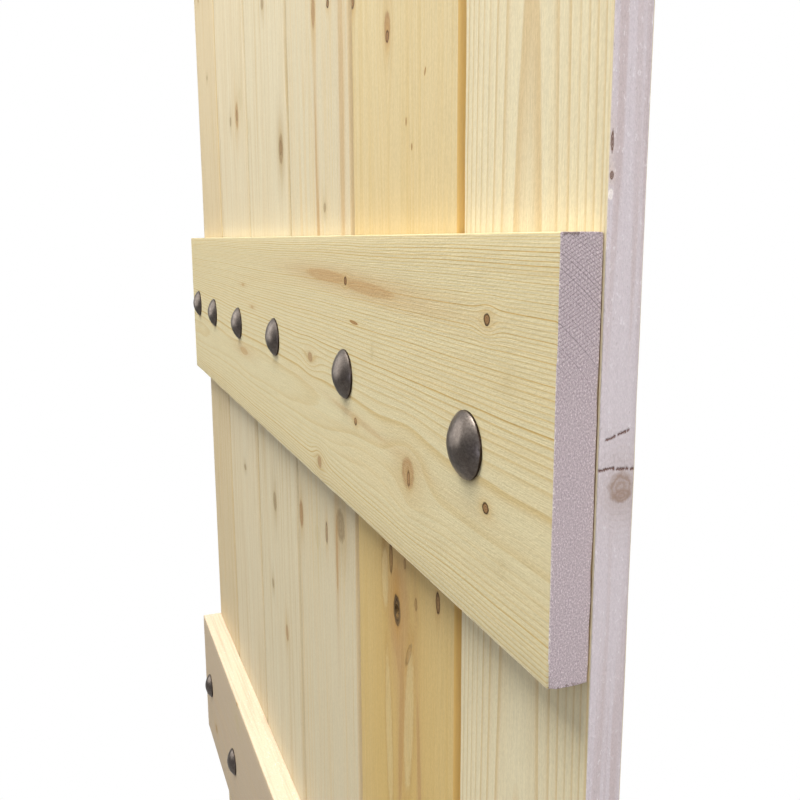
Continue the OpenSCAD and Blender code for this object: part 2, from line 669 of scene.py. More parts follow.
@dataclass
class Board(Timber):
    """One upright board with its V bevels, tongue and groove."""

    joined_left: bool = True
    joined_right: bool = True
    bevel: float = 4.5 * MM
    tongue_thick: float = 5.0 * MM
    tongue_long: float = 8.0 * MM
    tongue_back: float = 1.5 * MM
    tongue_gap: float = 0.4 * MM
    arris: float = 0.55 * MM
    crevice: float = 0.5 * MM
    tongue_root: float = 0.2 * MM
    tongue_round: float = 0.5 * MM
    groove_round: float = 0.3 * MM
    face_step: float = 16.0 * MM
    station_step: float = 26.0 * MM
    screw_rows: tuple[float, ...] = ()
    screw_step: float = 30.0 * MM
    screw_rise: float = 184.0 / 3 * MM
    holes: tuple[Pit, ...] = ()

    def seats(self) -> list[Pit]:
        """Countersunk seats of the screws in the board's back, two for each rail."""
        right = self.high.x - (self.tongue_long if self.joined_right else 0.0)
        middle = (self.low.x + right) / 2
        radii = (0.0, 2.2 * MM, 3.4 * MM, 4.6 * MM)
        depths = (2.4 * MM, 2.4 * MM, 1.2 * MM, 0.0)
        return [
            Pit(middle + side * self.screw_step, row + side * self.screw_rise, radii, depths)
            for row in self.screw_rows
            for side in (-1.0, 1.0)
        ]

    def outline(self) -> Outline:
        """The board's section, from its front left corner, in metres of the door.

        The front face runs between the two bevels, each bevel drops at 45 degrees to the
        joint, and the tongue or the groove lies behind it.
        """
        left, front, back = self.low.x, self.low.y, self.high.y
        right = self.high.x - (self.tongue_long if self.joined_right else 0.0)
        b, r, c = self.bevel, self.arris, self.crevice
        t0 = self.tongue_back - self.tongue_thick / 2
        t1 = self.tongue_back + self.tongue_thick / 2
        shape = Outline()
        start = left + b if self.joined_left else left
        stop = right - b if self.joined_right else right
        lip_left = (left, front + b) if self.joined_left else (left, back)
        lip_right = (right, front + b) if self.joined_right else (right, back)
        front_spots = [(pit.across, pit.lines()) for pit in self.holes]
        faces = graded_lines(start + r, stop - r, self.face_step, front_spots)[1:-1]
        shape.corner((start, front), lip_left, (stop, front), r, Surface.FACE)
        shape.add(faces, np.full(len(faces), front), Surface.FACE)
        beyond = Surface.BEVEL if self.joined_right else Surface.EDGE
        shape.corner((stop, front), (start, front), lip_right, r, beyond)
        side = np.array([0.25, 0.5, 0.75])
        if self.joined_right:
            shape.run((stop, front), lip_right, Surface.BEVEL, side)
            shape.corner(lip_right, (stop, front), (right, t0), c, Surface.EDGE)
            shape.corner((right, t0), lip_right, (right + 1, t0), self.tongue_root, Surface.EDGE, 2)
            tip = right + self.tongue_long
            shape.corner((tip, t0), (right, t0), (tip, t1), self.tongue_round, Surface.EDGE)
            shape.corner((tip, t1), (tip, t0), (right, t1), self.tongue_round, Surface.EDGE)
            shape.corner((right, t1), (tip, t1), (right, back), self.tongue_root, Surface.EDGE, 2)
            shape.corner((right, back), (right, t1), (left, back), r, Surface.FACE)
        else:
            shape.run((right, front), (right, back), Surface.EDGE, side)
            shape.corner((right, back), (right, front), (left, back), r, Surface.FACE)
        spots = sorted({pit.across for pit in self.seats()})
        rear_spots = [(x, self.seats()[0].lines()) for x in spots]
        rear = graded_lines(left + r, right - r, self.face_step, rear_spots)
        rear = rear[1:-1][::-1]
        shape.add(rear, np.full(len(rear), back), Surface.FACE)
        if self.joined_left:
            g0, g1 = t0 - self.tongue_gap, t1 + self.tongue_gap
            deep = left + self.tongue_long + self.tongue_gap
            shape.corner((left, back), (right, back), (left, g1), r, Surface.EDGE)
            shape.corner((left, g1), (left, back), (deep, g1), self.groove_round, Surface.EDGE, 2)
            shape.corner((deep, g1), (left, g1), (deep, g0), self.groove_round, Surface.EDGE, 2)
            shape.corner((deep, g0), (deep, g1), (left, g0), self.groove_round, Surface.EDGE, 2)
            shape.corner((left, g0), (deep, g0), lip_left, self.groove_round, Surface.EDGE, 2)
            shape.corner(lip_left, (left, g0), (start, front), c, Surface.BEVEL)
            shape.run(lip_left, (start, front), Surface.BEVEL, side)
        else:
            shape.corner((left, back), (right, back), (left, front), r, Surface.EDGE)
            shape.run((left, back), (left, front), Surface.EDGE, side)
        return shape

    def build(self, finish: "PineFinish") -> bpy.types.Object:
        """Makes and dresses the board.

        Args:
            finish: what its wood looks like.

        Returns:
            The piece.
        """
        seats = self.seats()
        spots = [(pit.along, pit.lines()) for pit in (*seats, *self.holes)]
        stations = self.end_stations(self.low.z, self.high.z - self.low.z, spots, self.station_step)
        pits = [(pit, self.high.y, -1.0) for pit in seats] + [(pit, self.low.y, 1.0) for pit in self.holes]
        piece = self.sweep(self.outline(), stations, (self.low.z, self.high.z), pits, False)
        self.dress(piece, finish)
        return piece


@dataclass
class Rail(Timber):
    """One level rail, a plain dressed board laid flat across the door's front."""

    arris: float = 0.9 * MM
    face_step: float = 12.0 * MM
    station_step: float = 16.0 * MM

    def outline(self) -> Outline:
        """The rail's section, a rectangle with eased arrises, from its lower front
        corner."""
        y0, z0, y1, z1 = self.low.y, self.low.z, self.high.y, self.high.z
        r = self.arris
        shape = Outline()
        thin = np.linspace(0.0, 1.0, 6)[1:-1]
        wide = np.linspace(0.0, 1.0, int((z1 - z0) / self.face_step) + 1)[1:-1]
        shape.corner((y0, z0), (y0, z1), (y1, z0), r, Surface.EDGE, 5)
        shape.run((y0, z0), (y1, z0), Surface.EDGE, thin)
        shape.corner((y1, z0), (y0, z0), (y1, z1), 0.5 * r, Surface.FACE, 3)
        shape.run((y1, z0), (y1, z1), Surface.FACE, wide)
        shape.corner((y1, z1), (y1, z0), (y0, z1), 0.5 * r, Surface.EDGE, 3)
        shape.run((y1, z1), (y0, z1), Surface.EDGE, thin)
        shape.corner((y0, z1), (y1, z1), (y0, z0), r, Surface.FACE, 5)
        shape.run((y0, z1), (y0, z0), Surface.FACE, wide)
        return shape

    def build(self, finish: "PineFinish") -> bpy.types.Object:
        """Makes and dresses the rail.

        Args:
            finish: what its wood looks like.

        Returns:
            The piece.
        """
        stations = self.end_stations(self.low.x, self.high.x - self.low.x, [], self.station_step)
        piece = self.sweep(self.outline(), stations, (self.low.x, self.high.x), [], True)
        self.dress(piece, finish)
        return piece


# ---------------------------------------------------------------------------------------
# Nails
# ---------------------------------------------------------------------------------------


@dataclass
class DomeNail:
    """A forged-look nail with a wide domed head, driven into a rail's face.

    The dark rows are the rows of faces, from the point up, of its shank and rim, which get the near-black
    metal of dark patina and painted shade.
    """

    node: str
    low: Vector
    high: Vector
    seed: int
    head_high: float = 8.5 * MM
    rim_high: float = 1.3 * MM
    shank: float = 1.8 * MM
    turns: int = 56
    dent: float = 0.0001
    dark_rows: int = 8

    def profile(self) -> tuple[Array, Array]:
        """Radius and height of the nail's outline, from the shank's point to the top of
        the dome: a circle's arc from the rim up, a short rim turned under by a small
        quarter circle, the flat underside and the pointed shank.

        Returns:
            Radii and heights over the rail's face.
        """
        radius = (self.high.x - self.low.x) / 2
        length = (self.high.y - self.low.y) - self.head_high
        rise = self.head_high - self.rim_high
        ball = (radius**2 + rise**2) / (2 * rise)
        turn = np.linspace(math.asin(radius / ball), 0.0, 18)
        dome_r = ball * np.sin(turn)
        dome_h = self.head_high - ball * (1 - np.cos(turn))
        roll = np.linspace(-math.pi / 2, 0.0, 5)
        small = 0.35 * MM
        rim_r = radius - small + small * np.cos(roll)
        rim_h = small + small * np.sin(roll)
        dome_r[0] = radius - 0.12 * MM
        radii = np.concatenate([[0.0, self.shank, self.shank], rim_r, dome_r[:-1], [0.0]])
        shank_h = [-length, 2 * self.shank - length, 0.0]
        heights = np.concatenate([shank_h, rim_h, dome_h[:-1], [self.head_high]])
        return radii, heights

    def build(self, finish: "NailFinish") -> bpy.types.Object:
        """Turns the profile about the nail's axis and dents it slightly.

        The radius at each turn is the profile's, less up to 1.5% by a slow noise round
        the rim, and the dome sinks by up to 0.2 mm where a soft noise says so, as a
        stamped and tumbled head has it.

        Args:
            finish: what its metal looks like.

        Returns:
            The piece.
        """
        radii, heights = self.profile()
        angle = np.linspace(0.0, 2 * math.pi, self.turns, endpoint=False)
        wander = (
            np.sin(angle + self.seed) * 0.4
            + np.sin(2 * angle + 1.7 * self.seed) * 0.35
            + np.sin(3 * angle) * 0.25
        )
        share = 1.0 - 0.0075 * (1.0 + wander)
        r = radii[:, None] * share[None, :]
        x = r * np.cos(angle)[None, :]
        z = r * np.sin(angle)[None, :]
        soft = np.sin(x * 420 + self.seed) * np.cos(z * 380 - self.seed)
        height = heights[:, None] - self.dent * (1.0 + soft) * (heights[:, None] > self.rim_high * 0.9)
        face = self.low.y + self.head_high
        middle_x = (self.low.x + self.high.x) / 2
        middle_z = (self.low.z + self.high.z) / 2
        points = np.stack([middle_x + x, face - height, middle_z + z], -1).reshape(-1, 3)
        quads = tube_faces(len(radii), self.turns)
        loops = quads[:, ::-1].ravel()
        starts = np.arange(len(quads)) * 4
        row = np.repeat(np.arange(len(radii) - 1), self.turns)
        piece = make_mesh(self.node + "_metal", points, loops, starts, row < self.dark_rows)
        Timber.merge(piece)
        piece.data.materials.append(finish.material(False))
        piece.data.materials.append(finish.material(True))
        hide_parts(self.node)
        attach(piece, BODY)
        return piece


# ---------------------------------------------------------------------------------------
# Node writing
# ---------------------------------------------------------------------------------------


class Sketch:
    """Writes the nodes of one tree, from left to right in the order they are asked for."""

    def __init__(self, tree: bpy.types.NodeTree) -> None:
        """Starts on an empty tree.

        Args:
            tree: the node tree to fill.
        """
        self.tree = tree
        self.made = 0

    def node(self, kind: str, **settings: object) -> bpy.types.Node:
        """Adds a node.

        Args:
            kind: Blender's name of the node type.
            settings: properties to set on it.

        Returns:
            The node.
        """
        made = self.tree.nodes.new(kind)
        made.location = (190 * (self.made // 5), -170 * (self.made % 5))
        self.made += 1
        for name, value in settings.items():
            setattr(made, name, value)
        return made

    def feed(self, into: Socket, value: Feed) -> None:
        """Links a socket, or sets a plain number or colour on it.

        Args:
            into: input socket.
            value: output socket, number or tuple.
        """
        if isinstance(value, bpy.types.NodeSocket):
            self.tree.links.new(value, into)
        elif isinstance(value, tuple) and into.type == "RGBA":
            into.default_value = (*value, 1.0)
        else:
            into.default_value = value

    def math(self, operation: str, *terms: Feed) -> Socket:
        """Adds a Math node.

        Args:
            operation: its operation.
            terms: its one, two or three inputs.

        Returns:
            The result.
        """
        made = self.node("ShaderNodeMath", operation=operation)
        for into, value in zip(made.inputs, terms):
            self.feed(into, value)
        return made.outputs[0]

    def add(self, a: Feed, b: Feed) -> Socket:
        """Sum of two values."""
        return self.math("ADD", a, b)

    def sub(self, a: Feed, b: Feed) -> Socket:
        """Difference of two values."""
        return self.math("SUBTRACT", a, b)

    def mul(self, a: Feed, b: Feed) -> Socket:
        """Product of two values."""
        return self.math("MULTIPLY", a, b)

    def span(self, value: Feed, low: Feed, high: Feed, to_low: Feed = 0.0, to_high: Feed = 1.0) -> Socket:
        """Maps a range to another, smoothly and within its ends.

        Args:
            value: what to map.
            low: where the result starts to change.
            high: where it stops.
            to_low: result at low.
            to_high: result at high.

        Returns:
            The mapped value.
        """
        backwards = isinstance(low, float) and isinstance(high, float) and high < low
        if backwards:
            low, high, to_low, to_high = high, low, to_high, to_low
        made = self.node("ShaderNodeMapRange", interpolation_type="SMOOTHSTEP")
        for into, term in zip(made.inputs, (value, low, high, to_low, to_high)):
            self.feed(into, term)
        return made.outputs[0]

    def bell(self, square: Feed) -> Socket:
        """Falls from 1 at 0 as e to the power of minus the given square."""
        return self.math("EXPONENT", self.mul(square, -1.0))

    def point(self, x: Feed, y: Feed, z: Feed = 0.0) -> Socket:
        """A vector of three values."""
        made = self.node("ShaderNodeCombineXYZ")
        for into, value in zip(made.inputs, (x, y, z)):
            self.feed(into, value)
        return made.outputs[0]

    def noise(self, at: Feed, scale: float, detail: float, rough: float = 0.5) -> Socket:
        """A Noise Texture's value.

        Args:
            at: where it is read.
            scale: its scale.
            detail: its octaves.
            rough: how strong the finer ones are.

        Returns:
            A value round 0.5.
        """
        made = self.node("ShaderNodeTexNoise", noise_dimensions="3D")
        self.feed(made.inputs["Vector"], at)
        settings = {"Scale": scale, "Detail": detail, "Roughness": rough}
        for name, value in settings.items():
            made.inputs[name].default_value = value
        return made.outputs["Fac"]

    def stretched(
        self, place: tuple[Feed, ...], scales: tuple[float, ...], detail: float, rough: float = 0.5
    ) -> Socket:
        """A noise with a scale of its own along each axis.

        Args:
            place: two or three coordinates.
            scales: scale along each of them.
            detail: its octaves.
            rough: how strong the finer ones are.

        Returns:
            A value round 0.5.
        """
        ways = [self.mul(way, scale) for way, scale in zip(place, scales)]
        return self.noise(self.point(*ways), 1.0, detail, rough)

    def noise_line(self, at: Feed, scale: float) -> Socket:
        """A noise that runs along one value."""
        made = self.node("ShaderNodeTexNoise", noise_dimensions="1D")
        self.feed(made.inputs["W"], at)
        made.inputs["Scale"].default_value = scale
        made.inputs["Detail"].default_value = 0.0
        return made.outputs["Fac"]

    def chance(self, at: Feed) -> Socket:
        """A random value for each whole number of at."""
        made = self.node("ShaderNodeTexWhiteNoise", noise_dimensions="1D")
        self.feed(made.inputs["W"], self.math("FLOOR", at))
        return made.outputs["Value"]

    def blend(self, share: Feed, a: Feed, b: Feed) -> Socket:
        """Mixes two colours.

        Args:
            share: how much of the second, from 0 to 1.
            a: first colour.
            b: second colour.

        Returns:
            The mixed colour.
        """
        made = self.node("ShaderNodeMix", data_type="RGBA", clamp_factor=True)
        for place, value in ((0, share), (6, a), (7, b)):
            self.feed(made.inputs[place], value)
        return made.outputs[2]

    def shade(self, colour: Feed, factor: Feed) -> Socket:
        """A colour made lighter or darker by a factor."""
        made = self.node("ShaderNodeVectorMath", operation="SCALE")
        self.feed(made.inputs[0], colour)
        self.feed(made.inputs["Scale"], factor)
        return made.outputs[0]

    def bump(self, height: Feed, strength: float, distance: float) -> Socket:
        """A Bump node's normal.

        Args:
            height: relief from 0 to 1.
            strength: how much of it counts.
            distance: what 1 stands for, in metres.

        Returns:
            The normal.
        """
        made = self.node("ShaderNodeBump")
        made.inputs["Strength"].default_value = strength
        made.inputs["Distance"].default_value = distance
        self.feed(made.inputs["Height"], height)
        return made.outputs["Normal"]


def new_material(name: str) -> tuple[bpy.types.Material, Sketch, bpy.types.Node]:
    """Starts a material with one Principled shader.

    Args:
        name: its name.

    Returns:
        The material, a sketch on its tree and the shader node.
    """
    material = bpy.data.materials.new(name)
    material.use_nodes = True
    tree = material.node_tree
    tree.nodes.clear()
    sketch = Sketch(tree)
    shader = tree.nodes.new("ShaderNodeBsdfPrincipled")
    output = tree.nodes.new("ShaderNodeOutputMaterial")
    shader.location, output.location = (4200, 0), (4500, 0)
    tree.links.new(shader.outputs[0], output.inputs[0])
    return material, sketch, shader


# ---------------------------------------------------------------------------------------
# Pine
# ---------------------------------------------------------------------------------------


@dataclass(frozen=True)
class MarkLook:
    """Colours of a mark and how far it pushes the grain aside."""

    body: Colour
    body_share: float
    rim: Colour
    rim_share: float
    halo: Colour
    halo_share: float
    push: float
    swell: float = 0.0


MARK_LOOKS: dict[Mark, MarkLook] = {
    Mark.LIVE: MarkLook(
        (0.36, 0.22, 0.10), 0.85, (0.30, 0.18, 0.08), 0.20,
        (0.50, 0.36, 0.17), 0.55, 0.88, 1.8,
    ),
    Mark.DEAD: MarkLook(
        (0.22, 0.11, 0.045), 0.9, (0.06, 0.027, 0.012), 0.9,
        (0.50, 0.31, 0.11), 0.65, 0.85, 1.2,
    ),
    Mark.PIN: MarkLook(
        (0.20, 0.09, 0.03), 0.97, (0.025, 0.010, 0.004), 0.97,
        (0.52, 0.35, 0.14), 0.6, 0.95, 1.0,
    ),
    # An open hole's near-black body is painted shade deep inside it; its dark rim and resin halo are the
    # wood's own.
    Mark.HOLE: MarkLook(
        (0.012, 0.007, 0.005), 1.0, (0.05, 0.022, 0.010), 1.0,
        (0.46, 0.24, 0.05), 0.85, 0.88, 1.2,
    ),
    Mark.STREAK: MarkLook(
        (0.44, 0.27, 0.11), 0.62, (0.50, 0.31, 0.155), 0.0,
        (0.48, 0.31, 0.14), 0.45, 0.0,
    ),
    Mark.POCKET: MarkLook(
        (0.28, 0.13, 0.03), 0.95, (0.36, 0.18, 0.05), 0.4,
        (0.56, 0.42, 0.18), 0.3, 0.25,
    ),
    Mark.SMUDGE: MarkLook(
        (0.46, 0.37, 0.19), 0.22, (0.4, 0.36, 0.24), 0.0,
        (0.50, 0.41, 0.22), 0.22, 0.0,
    ),
    Mark.PALE: MarkLook(
        (0.60, 0.50, 0.28), 0.45, (0.44, 0.25, 0.07), 0.35,
        (0.50, 0.34, 0.10), 0.3, 0.75, 1.4,
    ),
    Mark.EYE: MarkLook(
        (0.70, 0.56, 0.31), 0.0, (0.70, 0.56, 0.31), 0.0,
        (0.68, 0.54, 0.30), 0.15, 0.5, 2.4,
    ),
    Mark.SOFT: MarkLook(
        (0.26, 0.185, 0.095), 0.70, (0.36, 0.27, 0.15), 0.0,
        (0.42, 0.32, 0.17), 0.65, 0.7, 1.0,
    ),
    Mark.HEART: MarkLook(
        (0.56, 0.40, 0.16), 0.0, (0.56, 0.40, 0.16), 0.0,
        (0.54, 0.36, 0.10), 0.80, 0.0,
    ),
    # Dark line of painted shadow with a golden strip beside it; on the panel edge the same look gives small
    # dark marks.
    Mark.GRIME_AND_SHADOW: MarkLook(
        (0.12, 0.05, 0.02), 0.9, (0.13, 0.07, 0.03), 0.0,
        (0.62, 0.42, 0.17), 0.35, 0.0,
    ),
    Mark.BUTT: MarkLook(
        (0.33, 0.235, 0.18), 0.75, (0.33, 0.235, 0.18), 0.0,
        (0.46, 0.385, 0.35), 0.9, 0.0,
    ),
    Mark.CHIP: MarkLook(
        (0.86, 0.80, 0.72), 0.8, (0.30, 0.22, 0.18), 0.4,
        (0.5, 0.4, 0.3), 0.0, 0.0,
    ),
}


@dataclass(frozen=True)
class Knot:
    """One mark's place and half sizes, in millimetres of the door's frame."""

    along: float
    across: float
    half_length: float
    half_width: float
    mark: Mark
    slope: float = 0.0
    strength: float = 1.0

    def lay(self, s: Sketch, along: Feed, across: Feed, ruffle: Feed) -> bpy.types.NodeOutputs:
        """Adds the mark's group at its place.

        Args:
            s: sketch to add it to.
            along: place along the grain.
            across: place across it.
            ruffle: noise for the mark's edge.

        Returns:
            The group's outputs.
        """
        made = s.node("ShaderNodeGroup")
        made.node_tree = mark_group()
        own = (self.along, self.across, self.half_length, self.half_width, self.slope)
        for into, value in zip(made.inputs, (along, across, ruffle, *own)):
            s.feed(into, value)
        return made.outputs


def mark_group() -> bpy.types.NodeTree:
    """The node group that works out one mark.

    With a and c the distances from its centre along and across the grain, in half
    lengths and half widths, rho is the root of a^2 + c^2 with a ruffled edge.  The body
    is where rho is under 1, the rim a bell round rho = 1, the rings a sine of rho, and
    the halo and the push on the grain are wider bells, longer along the grain.

    Returns:
        The group, made once and shared.
    """
    found = bpy.data.node_groups.get("wood_mark")
    if found:
        return found
    tree = bpy.data.node_groups.new("wood_mark", "ShaderNodeTree")
    given_names = ("Along", "Across", "Ruffle", "At along", "At across", "Half length", "Half width", "Slope")
    for name in given_names:
        tree.interface.new_socket(name, in_out="INPUT", socket_type="NodeSocketFloat")
    for name in ("Body", "Rim", "Rings", "Halo", "Push along", "Push across", "Swell"):
        tree.interface.new_socket(name, in_out="OUTPUT", socket_type="NodeSocketFloat")
    s = Sketch(tree)
    given = s.node("NodeGroupInput").outputs
    result = s.node("NodeGroupOutput").inputs
    a = s.sub(given["Along"], given["At along"])
    c = s.sub(s.sub(given["Across"], given["At across"]), s.mul(a, given["Slope"]))
    share_a = s.math("DIVIDE", a, given["Half length"])
    share_c = s.math("DIVIDE", c, given["Half width"])
    square_a, square_c = s.mul(share_a, share_a), s.mul(share_c, share_c)
    root = s.math("SQRT", s.add(square_a, square_c))
    rho = s.math("MULTIPLY_ADD", s.sub(given["Ruffle"], 0.5), 0.5, root)
    off = s.math("DIVIDE", s.sub(rho, 0.96), 0.17)
    s.feed(result["Body"], s.span(rho, 1.08, 0.84))
    s.feed(result["Rim"], s.bell(s.mul(off, off)))
    s.feed(result["Rings"], s.math("MULTIPLY_ADD", s.math("SINE", s.mul(rho, 16.0)), 0.5, 0.5))
    halo = s.bell(s.add(s.mul(square_a, 0.16), s.mul(square_c, 0.36)))
    s.feed(result["Halo"], halo)
    push = s.bell(s.add(s.mul(square_a, 0.085), s.mul(square_c, 0.17)))
    s.feed(result["Push along"], s.mul(a, push))
    s.feed(result["Push across"], s.mul(c, push))
    s.feed(result["Swell"], push)
    return tree


@dataclass(frozen=True)
class PineFinish:
    """Raw spruce-pine: growth rings cut by the timber's own faces, fibre and knots.

    Lengths are in millimetres.  The rings are cylinders round a pith line that runs
    along the grain at pith_across and pith_depth.  They taper by taper a millimetre,
    bend by sway, crowd together beyond face_distance by crowd, lie closer on one side
    by lean, differ in width by uneven and fade within blank of the pith.
    """

    name: str
    lie: Lie
    pith_across: float
    pith_depth: float
    ring: float = 3.0
    taper: float = 0.006
    phase: float = 0.0
    sway: float = 1.6
    crowd: float = 0.0
    lean: float = 0.0
    uneven: float = 1.6
    blank: float = 0.0
    early: Colour = (0.76, 0.665, 0.44)
    late: Colour = (0.56, 0.40, 0.19)
    line: float = 0.5
    golden: Colour = (0.60, 0.42, 0.18)
    golden_share: float = 0.15
    # The bevel colour and its share are painted shade and warm bounce light in the V groove.
    bevel: Colour = (0.56, 0.36, 0.13)
    bevel_shade_share: float = 0.75
    # The lilac edge and mauve-grey end colours are partly the sawn wood's own greyer tone and partly painted
    # cool light from the right.
    edge: Colour = (0.62, 0.56, 0.56)
    end: Colour = (0.49, 0.41, 0.415)
    knots: tuple[Knot, ...] = ()
    edge_knots: tuple[Knot, ...] = ()
    edge_cracks: tuple[tuple[float, float, float, float], ...] = ()
    face_distance: float = 70.0
    end_low: tuple[float, float] = (0.0, 0.0)
    end_high: tuple[float, float] = (0.0, 0.0)

    def places(self, s: Sketch) -> tuple[Socket, Socket, Socket]:
        """Object coordinates in millimetres, as across, depth and along the grain."""
        read = s.node("ShaderNodeTexCoord")
        large = s.node("ShaderNodeVectorMath", operation="SCALE")
        s.feed(large.inputs[0], read.outputs["Object"])
        large.inputs["Scale"].default_value = 1000.0
        apart = s.node("ShaderNodeSeparateXYZ")
        s.feed(apart.inputs[0], large.outputs[0])
        x, y, z = apart.outputs
        return (x, y, z) if self.lie is Lie.UPRIGHT else (z, y, x)

    def group(self) -> bpy.types.NodeTree:
        """The wood's own node group: rings, fibre and marks, shared by its surfaces.

        The ring number is the distance from the pith line over the ring's width, after
        the marks have pushed the grain aside and two slow noises have bent it.  Each
        ring starts pale and darkens to its late wood by its own random strength.

        Returns:
            The group.
        """
        found = bpy.data.node_groups.get(self.name + "_wood")
        if found:
            return found
        tree = bpy.data.node_groups.new(self.name + "_wood", "ShaderNodeTree")
        tree.interface.new_socket("Colour", in_out="OUTPUT", socket_type="NodeSocketColor")
        for name in ("Late", "Fibre"):
            tree.interface.new_socket(name, in_out="OUTPUT", socket_type="NodeSocketFloat")
        s = Sketch(tree)
        result = s.node("NodeGroupOutput").inputs
        place = across, depth, along = self.places(s)
        ruffle = s.stretched(place, (0.4, 0.4, 0.25), 2.0, 0.6)
        marks = [(knot, knot.lay(s, along, across, ruffle)) for knot in self.knots]
        bent_along, bent_across, swell = along, across, None
        for knot, out in marks:
            look = MARK_LOOKS[knot.mark]
            if look.push:
                bent_across = s.math("MULTIPLY_ADD", out["Push across"], -look.push, bent_across)
                bent_along = s.math("MULTIPLY_ADD", out["Push along"], -0.6 * look.push, bent_along)
            if look.swell:
                swell = s.math("MULTIPLY_ADD", out["Swell"], look.swell, swell if swell else 0.0)
        slow = s.sub(s.stretched(place, (0.022, 0.022, 0.0045), 1.0), 0.5)
        quick = s.sub(s.stretched(place, (0.10, 0.10, 0.018), 1.0), 0.5)
        from_pith = s.sub(bent_across, self.pith_across)
        behind = s.sub(depth, self.pith_depth)
        radius = s.math("SQRT", s.add(s.mul(from_pith, from_pith), s.mul(behind, behind)))
        radius = s.math("MULTIPLY_ADD", bent_along, self.taper, radius)
        radius = s.math("MULTIPLY_ADD", slow, self.sway * 4.0, radius)
        radius = s.math("MULTIPLY_ADD", quick, self.sway * 0.7, radius)
        radius = s.math("MULTIPLY_ADD", from_pith, -self.lean, radius)
        if swell:
            radius = s.add(radius, swell)
        outer = s.math("MAXIMUM", s.sub(radius, self.face_distance), 0.0)
        ring = s.math("MULTIPLY_ADD", radius, 1.0 / self.ring, self.phase)
        ring = s.math("MULTIPLY_ADD", s.mul(outer, outer), self.crowd / self.ring, ring)
        ring = s.math("MULTIPLY_ADD", s.noise_line(radius, 0.11), self.uneven, ring)
        part = s.math("FRACT", ring)
        own = s.chance(ring)
        late = s.mul(s.span(part, 0.60, 0.88), s.span(part, 1.0, 0.93))
        late = s.mul(late, s.math("MULTIPLY_ADD", s.mul(own, own), 0.65, 0.35))
        if self.blank:
            aside = s.math("ABSOLUTE", from_pith)
            late = s.mul(late, s.span(aside, 0.2 * self.blank, self.blank, 0.25, 1.0))
        body = s.span(part, 0.0, 0.9)
        bent = (bent_across, depth, bent_along)
        fibre = s.stretched(bent, (1.5, 1.5, 0.035), 3.0, 0.6)
        streak = s.stretched(bent, (0.16, 0.16, 0.0035), 2.0, 0.55)
        mottle = s.stretched(place, (0.9, 0.9, 0.45), 2.0, 0.6)
        tint = s.span(streak, 0.42, 0.75, 0.0, self.golden_share)
        colour = s.blend(tint, self.early, self.golden)
        colour = s.blend(s.mul(late, self.line), colour, self.late)
        colour = s.blend(s.mul(body, 0.10), colour, self.late)
        for knot, out in marks:
            look = MARK_LOOKS[knot.mark]
            strength = knot.strength
            if look.halo_share:
                colour = s.blend(s.mul(out["Halo"], look.halo_share * strength), colour, look.halo)
            if look.body_share:
                full = look.body_share * strength
                tone = s.mul(out["Body"], s.span(out["Rings"], 0.0, 1.0, full, 0.72 * full))
                colour = s.blend(tone, colour, look.body)
            if look.rim_share:
                colour = s.blend(s.mul(out["Rim"], look.rim_share * strength), colour, look.rim)
        grain = s.add(s.span(fibre, 0.25, 0.75, 0.93, 1.045), s.span(mottle, 0.3, 0.7, -0.04, 0.04))
        colour = s.shade(colour, grain)
        for name, value in (("Colour", colour), ("Late", late), ("Fibre", fibre)):
            s.feed(result[name], value)
        return tree

    def wood(self, s: Sketch) -> bpy.types.NodeOutputs:
        """Adds the wood's group to a material and gives its outputs."""
        made = s.node("ShaderNodeGroup")
        made.node_tree = self.group()
        return made.outputs

    def relief(self, s: Sketch, shader: bpy.types.Node, strength: float) -> None:
        """Fine planed fibre as bump, and a gloss that follows it.

        Args:
            s: sketch on the material.
            shader: its shader.
            strength: of the bump.
        """
        place = self.places(s)
        hair = s.stretched(place, (2.2, 2.2, 0.06), 2.0, 0.6)
        fleck = s.stretched(place, (0.8, 0.8, 0.35), 2.0, 0.6)
        s.feed(shader.inputs["Normal"], s.bump(s.add(hair, fleck), strength, 0.0004))
        s.feed(shader.inputs["Roughness"], s.span(hair, 0.3, 0.7, 0.50, 0.64))
        shader.inputs["Specular IOR Level"].default_value = 0.10

    def face_material(self) -> bpy.types.Material:
        """Planed long-grain face."""
        material, s, shader = new_material(self.name + "_face")
        wood = self.wood(s)
        s.feed(shader.inputs["Base Color"], wood["Colour"])
        self.relief(s, shader, 0.35)
        return material

    def bevel_material(self) -> bpy.types.Material:
        """Moulded bevel of a V joint, painted golden-brown for the shade and warm bounce light in the groove.
        """
        material, s, shader = new_material(self.name + "_bevel")
        wood = self.wood(s)
        # This blend paints the groove's shade and warm bounce light into the bevel's colour.
        share = s.span(wood["Fibre"], 0.2, 0.8, self.bevel_shade_share - 0.15, self.bevel_shade_share + 0.1)
        s.feed(shader.inputs["Base Color"], s.blend(share, wood["Colour"], self.bevel))
        self.relief(s, shader, 0.3)
        return material

